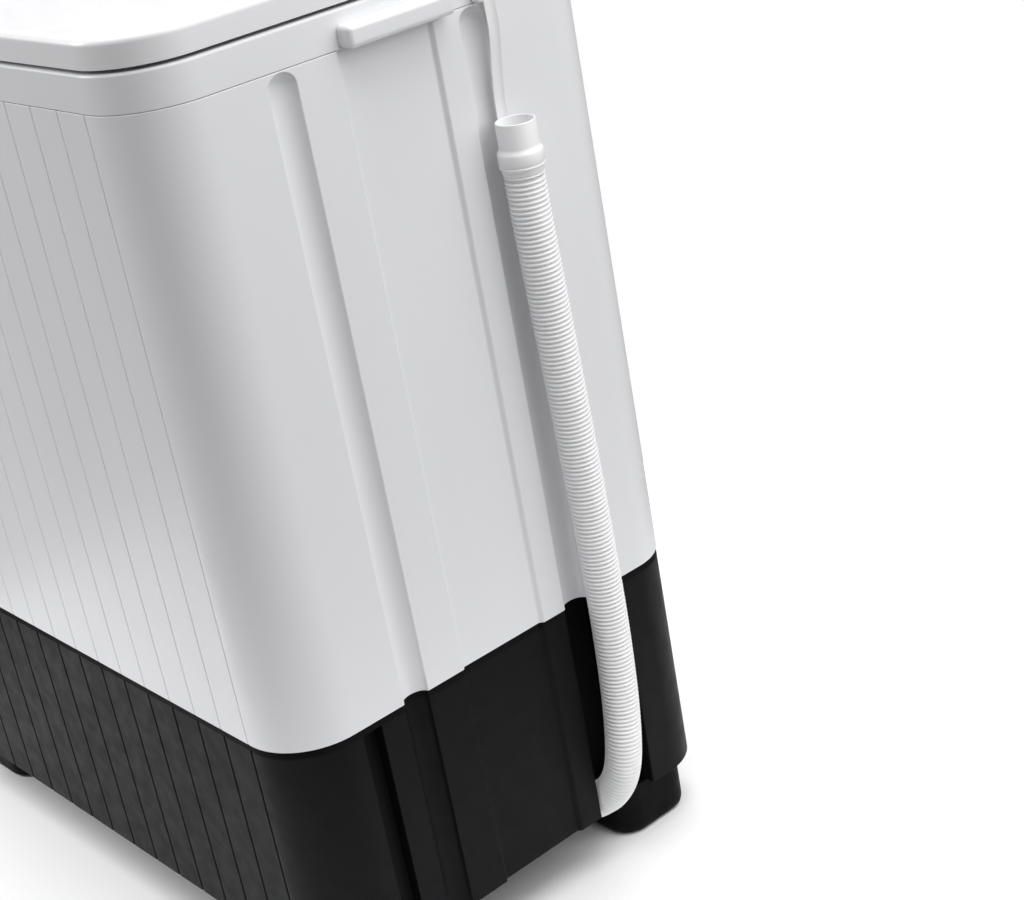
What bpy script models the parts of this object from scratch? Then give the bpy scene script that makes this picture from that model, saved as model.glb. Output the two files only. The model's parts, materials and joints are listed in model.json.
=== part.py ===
"""Twin-tub top load washing machine, built as separate parts.

Units are metres. +Z is up, the front faces -Y, and the drain hose hangs on the +X side.
The origin is on the floor under the middle of the machine.
"""
import math

import bmesh
import bpy
from mathutils import Matrix, Vector

# Outside of the machine
HALF_WIDTH = 0.400
FRONT_Y = -0.239
REAR_Y = 0.239
FRONT_RADIUS = 0.066
REAR_RADIUS = 0.055

# Heights of the seams between the casings
SKIRT_Z = 0.058
SEAM_Z = 0.296
TOP_SEAM_Z = 0.873
DECK_Z = 0.9052
LID_Z = 0.9082
LID_TOP_Z = 0.9335

GAP = 0.0003
WALL = 0.0025

# Half-round channels and the recessed middle panel of each side
CHANNEL_WIDTH = 0.0275
CHANNEL_DEPTH = 0.0095
FRONT_CHANNEL_Y = -0.1012
REAR_CHANNEL_Y = 0.0971
PANEL_FRONT_Y = (-0.0454, -0.0404)
PANEL_REAR_Y = (0.0512, 0.0577)
PANEL_RECESS = 0.0025

# Upright grooves across the front
GROOVE_COUNT = 16
GROOVE_PITCH = 0.04383
BODY_GROOVE = (0.0008, 0.0012)
BASE_GROOVE = (0.0013, 0.0020)

# Base moulding
BASE_INSET = 0.0010
LEDGE_INSET = 0.0030
LEDGE_DROP = 0.0080
LEDGE_RISE = 0.0010
SLOT_Y = (-0.1640, -0.1430)
SLOT_DEPTH = 0.0140
ALCOVE_Y = (0.0834, 0.1566)
ALCOVE_DEPTH = 0.0620
FLOOR_PLATE_Z = (0.0660, 0.0700)

# Feet
FOOT_X = 0.341
FOOT_Y = 0.1685
FOOT_HALF = 0.0465
FOOT_RADIUS = 0.0260
FOOT_NECK_Y = 0.190
FOOT_NECK_RADIUS = 0.018

# Carry grips on the sides of the top frame
GRIP_Y = (-0.0406, 0.0705)
GRIP_TOP_Z = 0.8925
GRIP_REACH = 0.0170

# Lids and their hinges
LID_SPLIT_X = 0.090
LID_GAP = 0.0015
HINGE_Y = 0.107
HINGE_Z = 0.9206
NOSE_RADIUS = 0.0124
PIN_RADIUS = 0.0025
EAR_PLACES = (-0.340, 0.030, 0.150, 0.340)

# Console behind the lids
CONSOLE_FRONT_Y = 0.1215
SLOPE_LOW = (0.1215, 0.9275)
SLOPE_HIGH = (0.1600, 0.9800)
KNOB_RADIUS = 0.0200
KNOB_HEIGHT = 0.0145
KNOB_ALONG = 0.0360
FASCIA_THICK = 0.0020
KNOBS = (
    ("wash_timer_knob", -0.270),
    ("wash_mode_knob", -0.130),
    ("drain_knob", 0.060),
    ("spin_timer_knob", 0.250),
)
INLET_XY = (-0.330, 0.200)

# Rear cover, cord gland and capacitor
BACK_COVER_CORNERS = ((-0.250, 0.380), (0.250, 0.780))
CORD_INLET = (-0.300, 0.340)
VENT_ROWS = 6
VENT_COLUMNS = 2
CAPACITOR_XY = (-0.200, 0.130)

# Wash side
WASH_X = -0.150
TUB_Y = -0.055
WASH_HALF = (0.2050, 0.1480)
WASH_BOTTOM_Z = 0.435
WASH_RIM_Z = 0.9024
PULSATOR_RADIUS = 0.128
SHAFT_RADIUS = 0.006
WASH_PULLEY_RADIUS = 0.080
MOTOR_PULLEY_RADIUS = 0.018
WASH_MOTOR_X = -0.305
PULLEY_Z = 0.315
BELT_HEIGHT = 0.008
MOTOR_TOP_Z = 0.270
CAN_WALL = 0.005
FILTER_X = -0.150
FILTER_Y = 0.0790

# Spin side
SPIN_X = 0.235
OUTER_TUB_RADIUS = 0.138
BASKET_RADIUS = 0.112
SPIN_BOTTOM_Z = 0.375
SPIN_MOTOR_RADIUS = 0.060
HOLE_COLUMNS = 12
BASKET_LOW_Z = SPIN_BOTTOM_Z + 0.022
BASKET_HIGH_Z = 0.862
SPRING_HEIGHT = 0.034
BRAKE_PIVOT = (SPIN_X - 0.0600, TUB_Y + 0.0480)

# Drain
HOSE_RADIUS = 0.01825
OUTLET = (0.3520, 0.1025, 0.0530)
VALVE_XY = (0.060, 0.160)
OUTLET_ROUTE = (
    (0.0905, 0.1600, 0.0925),
    (0.1100, 0.1600, 0.0925),
    (0.1800, 0.1500, 0.0925),
    (0.2250, 0.1250, 0.0925),
    (0.2520, 0.1080, 0.0895),
    (0.2750, 0.1027, 0.0725),
    (0.2970, 0.1025, 0.0565),
    (0.3220, 0.1025, 0.0530),
    (0.3480, 0.1025, 0.0530),
    OUTLET,
)
HOSE_ROUTE = (
    (0.3530, 0.1025, 0.0530),
    (0.3600, 0.1025, 0.0530),
    (0.3690, 0.1026, 0.0560),
    (0.3810, 0.1031, 0.0645),
    (0.3950, 0.1040, 0.0765),
    (0.4080, 0.1055, 0.0945),
    (0.4165, 0.1072, 0.1170),
    (0.4205, 0.1092, 0.1440),
    (0.4215, 0.1122, 0.1760),
    (0.4215, 0.1146, 0.2100),
    (0.4215, 0.1163, 0.2600),
    (0.4215, 0.1166, 0.3100),
    (0.4215, 0.1155, 0.3850),
    (0.4215, 0.1136, 0.4700),
    (0.4215, 0.1112, 0.5500),
    (0.4215, 0.1088, 0.6300),
    (0.4215, 0.1072, 0.6850),
    (0.4215, 0.1070, 0.7100),
    (0.4215, 0.1070, 0.7227),
)


# ---------------------------------------------------------------- scene helpers
def clear_scene():
    for old in list(bpy.data.objects):
        bpy.data.objects.remove(old, do_unlink=True)


def new_collection(name):
    collection = bpy.data.collections.new(name)
    bpy.context.scene.collection.children.link(collection)
    return collection


def make_material(name, colour, roughness, metallic=0.0):
    material = bpy.data.materials.new(name)
    material.use_nodes = True
    shader = material.node_tree.nodes["Principled BSDF"]
    shader.inputs["Base Color"].default_value = (*colour, 1.0)
    shader.inputs["Roughness"].default_value = roughness
    shader.inputs["Metallic"].default_value = metallic
    return material


clear_scene()
PARTS = new_collection("twin_tub_washing_machine")
CUTTERS = new_collection("cutters")

WHITE = make_material("white_plastic", (0.78, 0.78, 0.80), 0.38)
BLACK = make_material("black_plastic", (0.018, 0.018, 0.020), 0.45)
HOSE_WHITE = make_material("hose_plastic", (0.86, 0.86, 0.86), 0.42)
GREY = make_material("grey_plastic", (0.34, 0.35, 0.37), 0.45)
TUB_PLASTIC = make_material("tub_plastic", (0.80, 0.82, 0.84), 0.35)
PANEL_BLACK = make_material("panel_gloss", (0.020, 0.021, 0.024), 0.15)
RUBBER = make_material("rubber", (0.030, 0.030, 0.030), 0.80)
STEEL = make_material("steel", (0.55, 0.56, 0.58), 0.32, 1.0)
PAINTED = make_material("painted_steel", (0.12, 0.13, 0.15), 0.50, 0.4)
ALUMINIUM = make_material("aluminium", (0.72, 0.73, 0.75), 0.35, 1.0)


def add_object(name, mesh, material):
    obj = bpy.data.objects.new(name, mesh)
    PARTS.objects.link(obj)
    if material:
        mesh.materials.append(material)
    return obj


def smooth(obj, angle=35):
    obj.data.shade_smooth()
    obj.data.set_sharp_from_angle(angle=math.radians(angle))


def mesh_from(bm, name):
    mesh = bpy.data.meshes.new(name)
    bm.to_mesh(mesh)
    bm.free()
    return mesh


def add_cutter(obj):
    """Make obj a guide for Boolean modifiers and hide it."""
    for collection in list(obj.users_collection):
        collection.objects.unlink(obj)
    CUTTERS.objects.link(obj)
    obj.hide_render = True
    obj.display_type = "WIRE"
    return obj


def boolean(obj, other, operation="DIFFERENCE"):
    add_cutter(other)
    modifier = obj.modifiers.new(other.name, "BOOLEAN")
    modifier.operation = operation
    modifier.object = other


def solidify(obj, thickness, offset=-1.0):
    modifier = obj.modifiers.new("wall", "SOLIDIFY")
    modifier.thickness = thickness
    modifier.offset = offset
    modifier.use_even_offset = True


def bevel(obj, width, segments=2, angle=40):
    modifier = obj.modifiers.new("edges", "BEVEL")
    modifier.width = width
    modifier.segments = segments
    modifier.limit_method = "ANGLE"
    modifier.angle_limit = math.radians(angle)


# ---------------------------------------------------------------- shape helpers
def box(name, low, high, material=None):
    """Block between two corners."""
    low, high = Vector(low), Vector(high)
    bm = bmesh.new()
    bmesh.ops.create_cube(bm, size=1.0)
    bmesh.ops.scale(bm, vec=high - low, verts=bm.verts)
    obj = add_object(name, mesh_from(bm, name), material)
    obj.location = (low + high) / 2
    return obj


def cylinder(name, radius, height, location, material=None, segments=32, axis="Z"):
    """Plain cylinder centred on location."""
    bm = bmesh.new()
    bmesh.ops.create_cone(
        bm, cap_ends=True, segments=segments, radius1=radius, radius2=radius, depth=height
    )
    obj = add_object(name, mesh_from(bm, name), material)
    obj.location = location
    if axis == "X":
        obj.rotation_euler = (0, math.radians(90), 0)
    elif axis == "Y":
        obj.rotation_euler = (math.radians(90), 0, 0)
    smooth(obj)
    return obj


def turned(name, profile, location, material, steps=32):
    """Turn a profile of (radius, height) points, top to bottom down its outer side."""
    bm = bmesh.new()
    rings = []
    for radius, height in profile:
        if radius == 0.0:
            rings.append([bm.verts.new((0.0, 0.0, height))] * steps)
        else:
            rings.append([bm.verts.new(point) for point in circle(radius, height, steps)])
    pairs = list(zip(rings, rings[1:]))
    if profile[0][0] > 0.0:
        pairs.append((rings[-1], rings[0]))
    for upper, lower in pairs:
        for i in range(steps):
            j = (i + 1) % steps
            corners = list(dict.fromkeys((upper[i], lower[i], lower[j], upper[j])))
            if len(corners) > 2:
                bm.faces.new(corners)
    obj = add_object(name, mesh_from(bm, name), material)
    obj.location = location
    smooth(obj)
    return obj


def loft(name, rings, material, close_top=False, close_bottom=False, skip=(), wrap=False):
    """Skin a stack of closed rings. skip names (row, column) faces that are left open.

    wrap joins the last ring back to the first, for a tube-like wall with an inside.
    """
    bm = bmesh.new()
    rows = [[bm.verts.new(point) for point in ring] for ring in rings]
    count = len(rows[0])
    above = rows[1:] + rows[:1] if wrap else rows[1:]
    for row, (low, high) in enumerate(zip(rows, above)):
        for i in range(count):
            j = (i + 1) % count
            if (row, i) not in skip:
                bm.faces.new((low[i], low[j], high[j], high[i]))
    if close_bottom:
        bm.faces.new(list(reversed(rows[0])))
    if close_top:
        bm.faces.new(rows[-1])
    return add_object(name, mesh_from(bm, name), material)


def circle(radius, z, count, centre=(0.0, 0.0)):
    points = []
    for i in range(count):
        angle = 2 * math.pi * i / count
        points.append((centre[0] + radius * math.cos(angle), centre[1] + radius * math.sin(angle), z))
    return points


def arc(centre, radius, start, end, segments):
    """Points on an arc, in degrees, both ends included."""
    angles = [math.radians(start + (end - start) * i / segments) for i in range(segments + 1)]
    return [(centre[0] + radius * math.cos(a), centre[1] + radius * math.sin(a)) for a in angles]


def rounded_outline(x0, x1, y0, y1, radii, segments=5):
    """Rounded rectangle, anticlockwise from its front left corner."""
    fl, fr, rr, rl = radii
    points = arc((x0 + fl, y0 + fl), fl, 180, 270, segments)
    points += arc((x1 - fr, y0 + fr), fr, 270, 360, segments)
    points += arc((x1 - rr, y1 - rr), rr, 0, 90, segments)
    points += arc((x0 + rl, y1 - rl), rl, 90, 180, segments)
    return points


def at_height(outline, z):
    return [(x, y, z) for x, y in outline]


def extruded(name, outline, low, high, material):
    """Flat outline pulled up from low to high."""
    return loft(name, [at_height(outline, low), at_height(outline, high)], material, True, True)


def tube(name, points, radius, material, resolution=3):
    """Round solid tube along a poly spline."""
    curve = bpy.data.curves.new(name, "CURVE")
    curve.dimensions = "3D"
    curve.bevel_depth = radius
    curve.bevel_resolution = resolution
    curve.use_fill_caps = True
    spline = curve.splines.new("POLY")
    spline.points.add(len(points) - 1)
    for target, point in zip(spline.points, points):
        target.co = (*point, 1.0)
    curve.materials.append(material)
    obj = bpy.data.objects.new(name, curve)
    PARTS.objects.link(obj)
    return obj


def catmull_rom(points, per_span):
    """Smooth curve through points, with per_span steps from one to the next."""
    points = [Vector(p) for p in points]
    ends = [2 * points[0] - points[1]] + points + [2 * points[-1] - points[-2]]
    curve = []
    for p0, p1, p2, p3 in zip(ends, ends[1:], ends[2:], ends[3:]):
        for step in range(per_span):
            t = step / per_span
            curve.append(
                0.5 * (2 * p1 + (p2 - p0) * t + (2 * p0 - 5 * p1 + 4 * p2 - p3) * t * t
                       + (3 * p1 - p0 - 3 * p2 + p3) * t ** 3)
            )
    return curve + [points[-1]]


# ---------------------------------------------------------------- casing outline
def channel_points(middle, level, widen):
    """(y, inset) points across a half-round channel; level 0 is full depth and 1 its end."""
    points = []
    half = CHANNEL_WIDTH / 2 + widen
    for u in (-1.0, -0.9, -0.55, 0.0, 0.55, 0.9, 1.0):
        inside = max(0.0, 1.0 - u * u - level * level)
        points.append((middle + u * half, CHANNEL_DEPTH * math.sqrt(inside)))
    return points


def notch_points(span, depth, widen):
    """(y, inset) points around a square notch with a little draft."""
    y0, y1 = span[0] - widen, span[1] + widen
    return [(y0, 0.0), (y0 + GAP, depth), (y1 - GAP, depth), (y1, 0.0)]


def side_points(level=0.0, slot=None, alcove=False, widen=0.0):
    """(y, inset) points along a side, front to back. widen is the wall on its inner face."""
    points = []
    if slot is not None:
        points += notch_points(SLOT_Y, slot, widen)
    points += channel_points(FRONT_CHANNEL_Y, level, widen)
    points += [(PANEL_FRONT_Y[0], 0.0), (PANEL_FRONT_Y[1], PANEL_RECESS)]
    points += [(PANEL_REAR_Y[0], PANEL_RECESS), (PANEL_REAR_Y[1], 0.0)]
    if alcove:
        points += notch_points(ALCOVE_Y, ALCOVE_DEPTH, widen)
    else:
        points += channel_points(REAR_CHANNEL_Y, level, widen)
    return points


def front_points(groove):
    """(x, inset) points along the front, left to right."""
    half, depth = groove
    points = []
    for i in range(GROOVE_COUNT):
        x = (i - (GROOVE_COUNT - 1) / 2) * GROOVE_PITCH
        points += [(x - half, 0.0), (x, depth), (x + half, 0.0)]
    return points


def casing_outline(inset=0.0, groove=None, right=(), left=()):
    """Plan outline of the casing, anticlockwise from the left end of the front."""
    x, front, rear = HALF_WIDTH - inset, FRONT_Y + inset, REAR_Y - inset
    front_r, rear_r = FRONT_RADIUS - inset, REAR_RADIUS - inset
    points = [(px, front + depth) for px, depth in front_points(groove)] if groove else []
    points += arc((x - front_r, front + front_r), front_r, 270, 360, 5)
    points += [(x - depth, y) for y, depth in right]
    points += arc((x - rear_r, rear - rear_r), rear_r, 0, 90, 4)
    points += arc((-x + rear_r, rear - rear_r), rear_r, 90, 180, 4)
    points += [(-x + depth, y) for y, depth in reversed(left)]
    points += arc((-x + front_r, front + front_r), front_r, 180, 270, 5)
    return points


# ---------------------------------------------------------------- casings
def base_ring(z, inset, groove_depth, slot_depth, widen=0.0):
    right = side_points(slot=slot_depth, alcove=True, widen=widen)
    left = side_points(slot=slot_depth, widen=widen)
    groove = (BASE_GROOVE[0] + widen / 2, groove_depth)
    return at_height(casing_outline(inset, groove, right, left), z)


def make_base():
    """Black skirt with its floor plate, hose alcove and side channels."""
    ledge = SEAM_Z - LEDGE_DROP
    inner = BASE_INSET + WALL
    rings = [
        base_ring(SKIRT_Z, BASE_INSET, BASE_GROOVE[1], SLOT_DEPTH),
        base_ring(ledge, BASE_INSET, BASE_GROOVE[1], SLOT_DEPTH),
        base_ring(ledge + LEDGE_RISE, BASE_INSET + 0.0002, 0.0, 0.0),
        base_ring(SEAM_Z - GAP, LEDGE_INSET, 0.0, 0.0),
        base_ring(SEAM_Z - GAP, LEDGE_INSET + WALL, 0.0, 0.0, WALL),
        base_ring(ledge + WALL, inner, BASE_GROOVE[1], SLOT_DEPTH, WALL),
        base_ring(FLOOR_PLATE_Z[1], inner, BASE_GROOVE[1], SLOT_DEPTH, WALL),
    ]
    under = [
        base_ring(FLOOR_PLATE_Z[0], inner, BASE_GROOVE[1], SLOT_DEPTH, WALL),
        base_ring(SKIRT_Z, inner, BASE_GROOVE[1], SLOT_DEPTH, WALL),
    ]
    base = loft("base_frame", under + rings, BLACK, close_top=True, close_bottom=True)
    notch = box("outlet_notch", (0.238, OUTLET[1] - 0.016, SKIRT_Z - 0.01),
                (HALF_WIDTH - ALCOVE_DEPTH + 0.004, OUTLET[1] + 0.016, 0.079))
    boolean(base, notch)
    return base


def foot_ring(half, radius, z, centre=(0.0, 0.0)):
    cx, cy = centre
    outline = rounded_outline(cx - half, cx + half, cy - half, cy + half, (radius,) * 4, 3)
    return at_height(outline, z)


def make_foot(name, side, end):
    """Rounded block foot with a neck that plugs up into the base."""
    neck = (0.0, end * (FOOT_NECK_Y - FOOT_Y))
    top = SKIRT_Z - GAP
    rings = [
        foot_ring(FOOT_HALF - 0.010, FOOT_RADIUS - 0.008, 0.0),
        foot_ring(FOOT_HALF - 0.003, FOOT_RADIUS - 0.003, 0.0030),
        foot_ring(FOOT_HALF, FOOT_RADIUS, 0.0100),
        foot_ring(FOOT_HALF, FOOT_RADIUS, top),
        foot_ring(FOOT_NECK_RADIUS, FOOT_NECK_RADIUS - 0.0005, top, neck),
        foot_ring(FOOT_NECK_RADIUS, FOOT_NECK_RADIUS - 0.0005, FLOOR_PLATE_Z[0] - GAP, neck),
    ]
    foot = loft(name, rings, BLACK, True, True)
    foot.location = (side * FOOT_X, end * FOOT_Y, 0.0)
    smooth(foot)
    return foot


def make_cabinet():
    """White body shell between the base and the top frame, open at the back for its cover."""
    end_r = CHANNEL_WIDTH / 2
    top = TOP_SEAM_Z - GAP
    rings = []
    for z, level in ((SEAM_Z, 0.0), (top - end_r, 0.0), (top - end_r * 0.35, 0.65), (top, 1.0)):
        sides = side_points(level)
        rings.append(at_height(casing_outline(0.0, BODY_GROOVE, sides, sides), z))
    groove = (BODY_GROOVE[0] + WALL / 4, BODY_GROOVE[1])
    for z, level in ((top, 0.97), (top - end_r, 0.0), (SEAM_Z, 0.0)):
        sides = side_points(level, widen=WALL)
        rings.append(at_height(casing_outline(WALL, groove, sides, sides), z))
    cabinet = loft("cabinet_shell", rings, WHITE, wrap=True)
    (x0, z0), (x1, z1) = BACK_COVER_CORNERS
    flange = 0.010
    ring = box("cover_flange", (x0 - flange, REAR_Y - 0.006, z0 - flange),
               (x1 + flange, REAR_Y - 0.0023, z1 + flange))
    boolean(cabinet, ring, "UNION")
    rebate = box("cover_rebate", (x0, REAR_Y - 0.0030, z0), (x1, REAR_Y + 0.01, z1))
    boolean(cabinet, rebate)
    window = box("cover_window", (x0 + flange, REAR_Y - 0.02, z0 + flange),
                 (x1 - flange, REAR_Y + 0.02, z1 - flange))
    boolean(cabinet, window)
    inlet = cylinder("cord_hole", 0.0078, 0.04, (CORD_INLET[0], REAR_Y, CORD_INLET[1]), None, 16, "Y")
    boolean(cabinet, inlet)
    return cabinet


def make_back_cover():
    """Flat rear cover with rows of vent slots."""
    (x0, z0), (x1, z1) = BACK_COVER_CORNERS
    x0, z0, x1, z1 = x0 + 0.0005, z0 + 0.0005, x1 - 0.0005, z1 - 0.0005
    columns = [x0]
    for i in range(VENT_COLUMNS):
        middle = (i - (VENT_COLUMNS - 1) / 2) * 0.18
        columns += [middle - 0.070, middle + 0.070]
    columns.append(x1)
    levels = [z0]
    for i in range(VENT_ROWS):
        low = z0 + 0.060 + i * 0.016
        levels += [low, low + 0.006]
    levels.append(z1)
    bm = bmesh.new()
    y = REAR_Y - 0.0026
    grid = [[bm.verts.new((x, y, z)) for x in columns] for z in levels]
    for row in range(len(levels) - 1):
        for column in range(len(columns) - 1):
            if row % 2 == 1 and column % 2 == 1:
                continue
            low, high = grid[row], grid[row + 1]
            bm.faces.new((low[column + 1], low[column], high[column], high[column + 1]))
    cover = add_object("back_cover", mesh_from(bm, "back_cover"), WHITE)
    solidify(cover, 0.0022, 1.0)
    for index, (x, z) in enumerate(cover_screw_places()):
        hole = cylinder(f"cover_screw_hole_{index}", 0.0024, 0.02, (x, REAR_Y, z), None, 12, "Y")
        boolean(cover, hole)
    return cover


def cover_screw_places():
    (x0, z0), (x1, z1) = BACK_COVER_CORNERS
    edge = 0.005
    return [(x, z) for x in (x0 + edge + 0.002, x1 - edge - 0.002) for z in (z0 + 0.05, z1 - 0.05)]


def make_cover_screws():
    """Screws that hold the back cover, sunk in its face."""
    profile = ((0.0, 0.0022), (0.0021, 0.0020), (0.0021, 0.0), (0.0, 0.0))
    for index, (x, z) in enumerate(cover_screw_places()):
        screw = turned(f"back_cover_screw_{index + 1}", profile, (x, REAR_Y - 0.0026, z), STEEL, 12)
        screw.rotation_euler = (math.radians(-90), 0, 0)


# ---------------------------------------------------------------- top frame
def make_grip(side, side_name):
    """Carry grip clipped to the side of the top frame, hollow underneath for the fingers."""
    near, far = HALF_WIDTH + GAP, HALF_WIDTH + GRIP_REACH
    bottom = TOP_SEAM_Z + 0.0004
    x0, x1 = sorted((side * (near - 0.010), side * far))
    grip = box(f"{side_name}_grip", (x0, GRIP_Y[0], bottom), (x1, GRIP_Y[1], GRIP_TOP_Z), WHITE)
    bevel(grip, 0.0040, 3)
    x0, x1 = sorted((side * (near - 0.020), side * near))
    low, high = (x0, GRIP_Y[0] - 0.01, bottom - 0.01), (x1, GRIP_Y[1] + 0.01, GRIP_TOP_Z + 0.01)
    boolean(grip, box(f"{side_name}_grip_back", low, high))
    x0, x1 = sorted((side * (near - 0.015), side * (far - 0.0035)))
    low, high = (x0, GRIP_Y[0] + 0.006, bottom - 0.008), (x1, GRIP_Y[1] - 0.006, GRIP_TOP_Z - 0.0045)
    boolean(grip, box(f"{side_name}_grip_pocket", low, high))


def hinge_ear(name, x):
    """Ear that a lid's hinge pin turns in."""
    height = HINGE_Z - DECK_Z + 0.0065
    outline = arc((HINGE_Y, HINGE_Z), 0.0065, 0, 180, 8)
    outline += [(HINGE_Y - 0.0065, HINGE_Z - height + 0.005), (HINGE_Y + 0.0065, HINGE_Z - height + 0.005)]
    rings = [[(x + dx, y, z) for y, z in outline] for dx in (-0.004, 0.004)]
    return loft(name, rings, None, True, True)


def make_top_frame():
    """White top moulding: band, deck with both tub openings and hinge ears."""
    rings = []
    for z, inset in ((TOP_SEAM_Z, 0.0), (DECK_Z - 0.0025, 0.0), (DECK_Z - 0.0008, 0.0007), (DECK_Z, 0.0025)):
        rings.append(at_height(casing_outline(inset), z))
    frame = loft("top_frame", rings, WHITE, close_top=True)
    solidify(frame, WALL)
    for index, x in enumerate(EAR_PLACES):
        boolean(frame, hinge_ear(f"hinge_ear_{index}", x), "UNION")
    bore = cylinder("hinge_bore", PIN_RADIUS + 0.0004, 0.9, (0, HINGE_Y, HINGE_Z), None, 16, "X")
    boolean(frame, bore)
    wash = rounded_outline(WASH_X - 0.190, WASH_X + 0.190, TUB_Y - 0.133, TUB_Y + 0.133, (0.046,) * 4, 8)
    boolean(frame, extruded("wash_opening", wash, DECK_Z - 0.02, DECK_Z + 0.0005, None))
    spin = cylinder("spin_opening", 0.118, 0.02, (SPIN_X, TUB_Y, DECK_Z - 0.0095), None, 28)
    boolean(frame, spin)
    wiring = box("wiring_opening", (-0.30, 0.135, DECK_Z - 0.01), (0.30, 0.215, DECK_Z + 0.0005))
    boolean(frame, wiring)
    return frame


def lid_ring(x0, x1, radii, z, inset):
    """Lid outline at height z, with its rear edge on the round nose over the hinge."""
    drop = z - HINGE_Z
    rear = HINGE_Y + math.sqrt(max(0.0, NOSE_RADIUS ** 2 - drop ** 2))
    fl, fr = radii
    radii = (fl - inset if fl > 0.02 else fl, fr - inset if fr > 0.02 else fr, 0.002, 0.002)
    return at_height(rounded_outline(x0 + inset, x1 - inset, FRONT_Y + inset, rear, radii, 5), z)


def make_lid(name, x0, x1, radii):
    """Lid tray, open underneath, that turns about the hinge pin."""
    levels = (
        (LID_Z, 0.0), (0.9125, 0.0), (HINGE_Z, 0.0), (0.9275, 0.0),
        (0.9310, 0.0009), (0.9328, 0.0030), (LID_TOP_Z - 0.0006, 0.0065),
    )
    rings = [lid_ring(x0, x1, radii, z, inset) for z, inset in levels]
    lid = loft(name, rings, WHITE, close_top=True)
    solidify(lid, 0.0022)
    move_origin(lid, (0.0, HINGE_Y, HINGE_Z))
    for index, x in enumerate(EAR_PLACES):
        if x0 < x < x1:
            slot = box(f"{name}_slot_{index}", (x - 0.0055, HINGE_Y - 0.0072, LID_Z - 0.005),
                       (x + 0.0055, HINGE_Y + 0.02, HINGE_Z + 0.0085))
            boolean(lid, slot)
    return lid


def move_origin(obj, point):
    """Put a fixed mesh's origin at point without moving its shape."""
    obj.data.transform(Matrix.Translation(-Vector(point)))
    obj.location = point


def make_lids():
    wash_x = (-HALF_WIDTH, LID_SPLIT_X - LID_GAP)
    spin_x = (LID_SPLIT_X + LID_GAP, HALF_WIDTH)
    make_lid("wash_lid", *wash_x, (FRONT_RADIUS, 0.003))
    make_lid("spin_lid", *spin_x, (0.003, FRONT_RADIUS))
    for name, (x0, x1) in (("wash_lid_hinge_pin", wash_x), ("spin_lid_hinge_pin", spin_x)):
        length = x1 - x0 - 2 * (0.0022 + GAP)
        cylinder(name, PIN_RADIUS, length, ((x0 + x1) / 2, HINGE_Y, HINGE_Z), STEEL, 16, "X")


# ---------------------------------------------------------------- console
SLOPE = Vector((0.0, SLOPE_HIGH[0] - SLOPE_LOW[0], SLOPE_HIGH[1] - SLOPE_LOW[1]))
SLOPE_LENGTH = SLOPE.length
SLOPE_UP = SLOPE.normalized()
SLOPE_OUT = Vector((0.0, -SLOPE_UP.z, SLOPE_UP.y))
SLOPE_FOOT = Vector((0.0, *SLOPE_LOW))


def on_slope(x, along, out):
    """Point on the console's slope: along it from its foot, and out from its face."""
    return SLOPE_FOOT + Vector((x, 0.0, 0.0)) + SLOPE_UP * along + SLOPE_OUT * out


def slope_matrix(x, along, out):
    """Frame on the slope, with local +Z pointing out of its face and +Y up it."""
    turn = Matrix((Vector((1, 0, 0)), SLOPE_UP, SLOPE_OUT)).transposed().to_4x4()
    return Matrix.Translation(on_slope(x, along, out)) @ turn


def make_console():
    """Raised rear console with a sloping face."""
    rings = []
    for z, front, inset in (
        (DECK_Z + GAP, CONSOLE_FRONT_Y, 0.0), (SLOPE_LOW[1], SLOPE_LOW[0], 0.0),
        (SLOPE_HIGH[1], SLOPE_HIGH[0], 0.0), (SLOPE_HIGH[1] + 0.0035, SLOPE_HIGH[0] + 0.0045, 0.0020),
    ):
        x = HALF_WIDTH - inset
        radii = (0.006, 0.006, REAR_RADIUS - inset, REAR_RADIUS - inset)
        rings.append(at_height(rounded_outline(-x, x, front, REAR_Y - inset, radii, 5), z))
    console = loft("console_housing", rings, WHITE, close_top=True)
    solidify(console, WALL)
    for name, x in KNOBS:
        hole = cylinder(f"{name}_hole", 0.0042, 0.02, (0, 0, 0), None, 10)
        hole.matrix_world = slope_matrix(x, KNOB_ALONG, -0.001)
        boolean(console, hole)
    inlet = cylinder("inlet_hole", 0.0145, 0.02, (*INLET_XY, SLOPE_HIGH[1]), None, 16)
    boolean(console, inlet)
    return console


def make_fascia():
    """Glossy strip on the console's slope, behind the knobs."""
    fascia = box("control_fascia", (-0.350, -0.0275, 0.0), (0.350, 0.0275, FASCIA_THICK), PANEL_BLACK)
    fascia.matrix_world = slope_matrix(0.0, KNOB_ALONG, GAP + FASCIA_THICK / 2)
    for name, x in KNOBS:
        hole = cylinder(f"{name}_fascia_hole", 0.0042, 0.02, (0, 0, 0), None, 10)
        hole.matrix_world = slope_matrix(x, KNOB_ALONG, 0.0)
        boolean(fascia, hole)
    return fascia


def make_knobs():
    """Turning knobs, each with its stem and a raised finger bar."""
    base = FASCIA_THICK + 2 * GAP
    profile = (
        (0.0, base + 0.0090), (0.0120, base + 0.0090), (0.0185, base + 0.0065), (KNOB_RADIUS, base + 0.0030),
        (KNOB_RADIUS, base), (0.0034, base), (0.0034, -0.0080), (0.0, -0.0080),
    )
    for name, x in KNOBS:
        knob = turned(name, profile, (0, 0, 0), WHITE, 20)
        place = slope_matrix(x, KNOB_ALONG, 0.0)
        bar = box(f"{name}_bar", (-0.0042, -0.0165, base + 0.003), (0.0042, 0.0165, base + KNOB_HEIGHT))
        bar.matrix_world = place @ Matrix.Translation((0, 0, base + (0.003 + KNOB_HEIGHT) / 2))
        bevel(bar, 0.0020, 1)
        knob.matrix_world = place
        boolean(knob, bar, "UNION")


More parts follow.
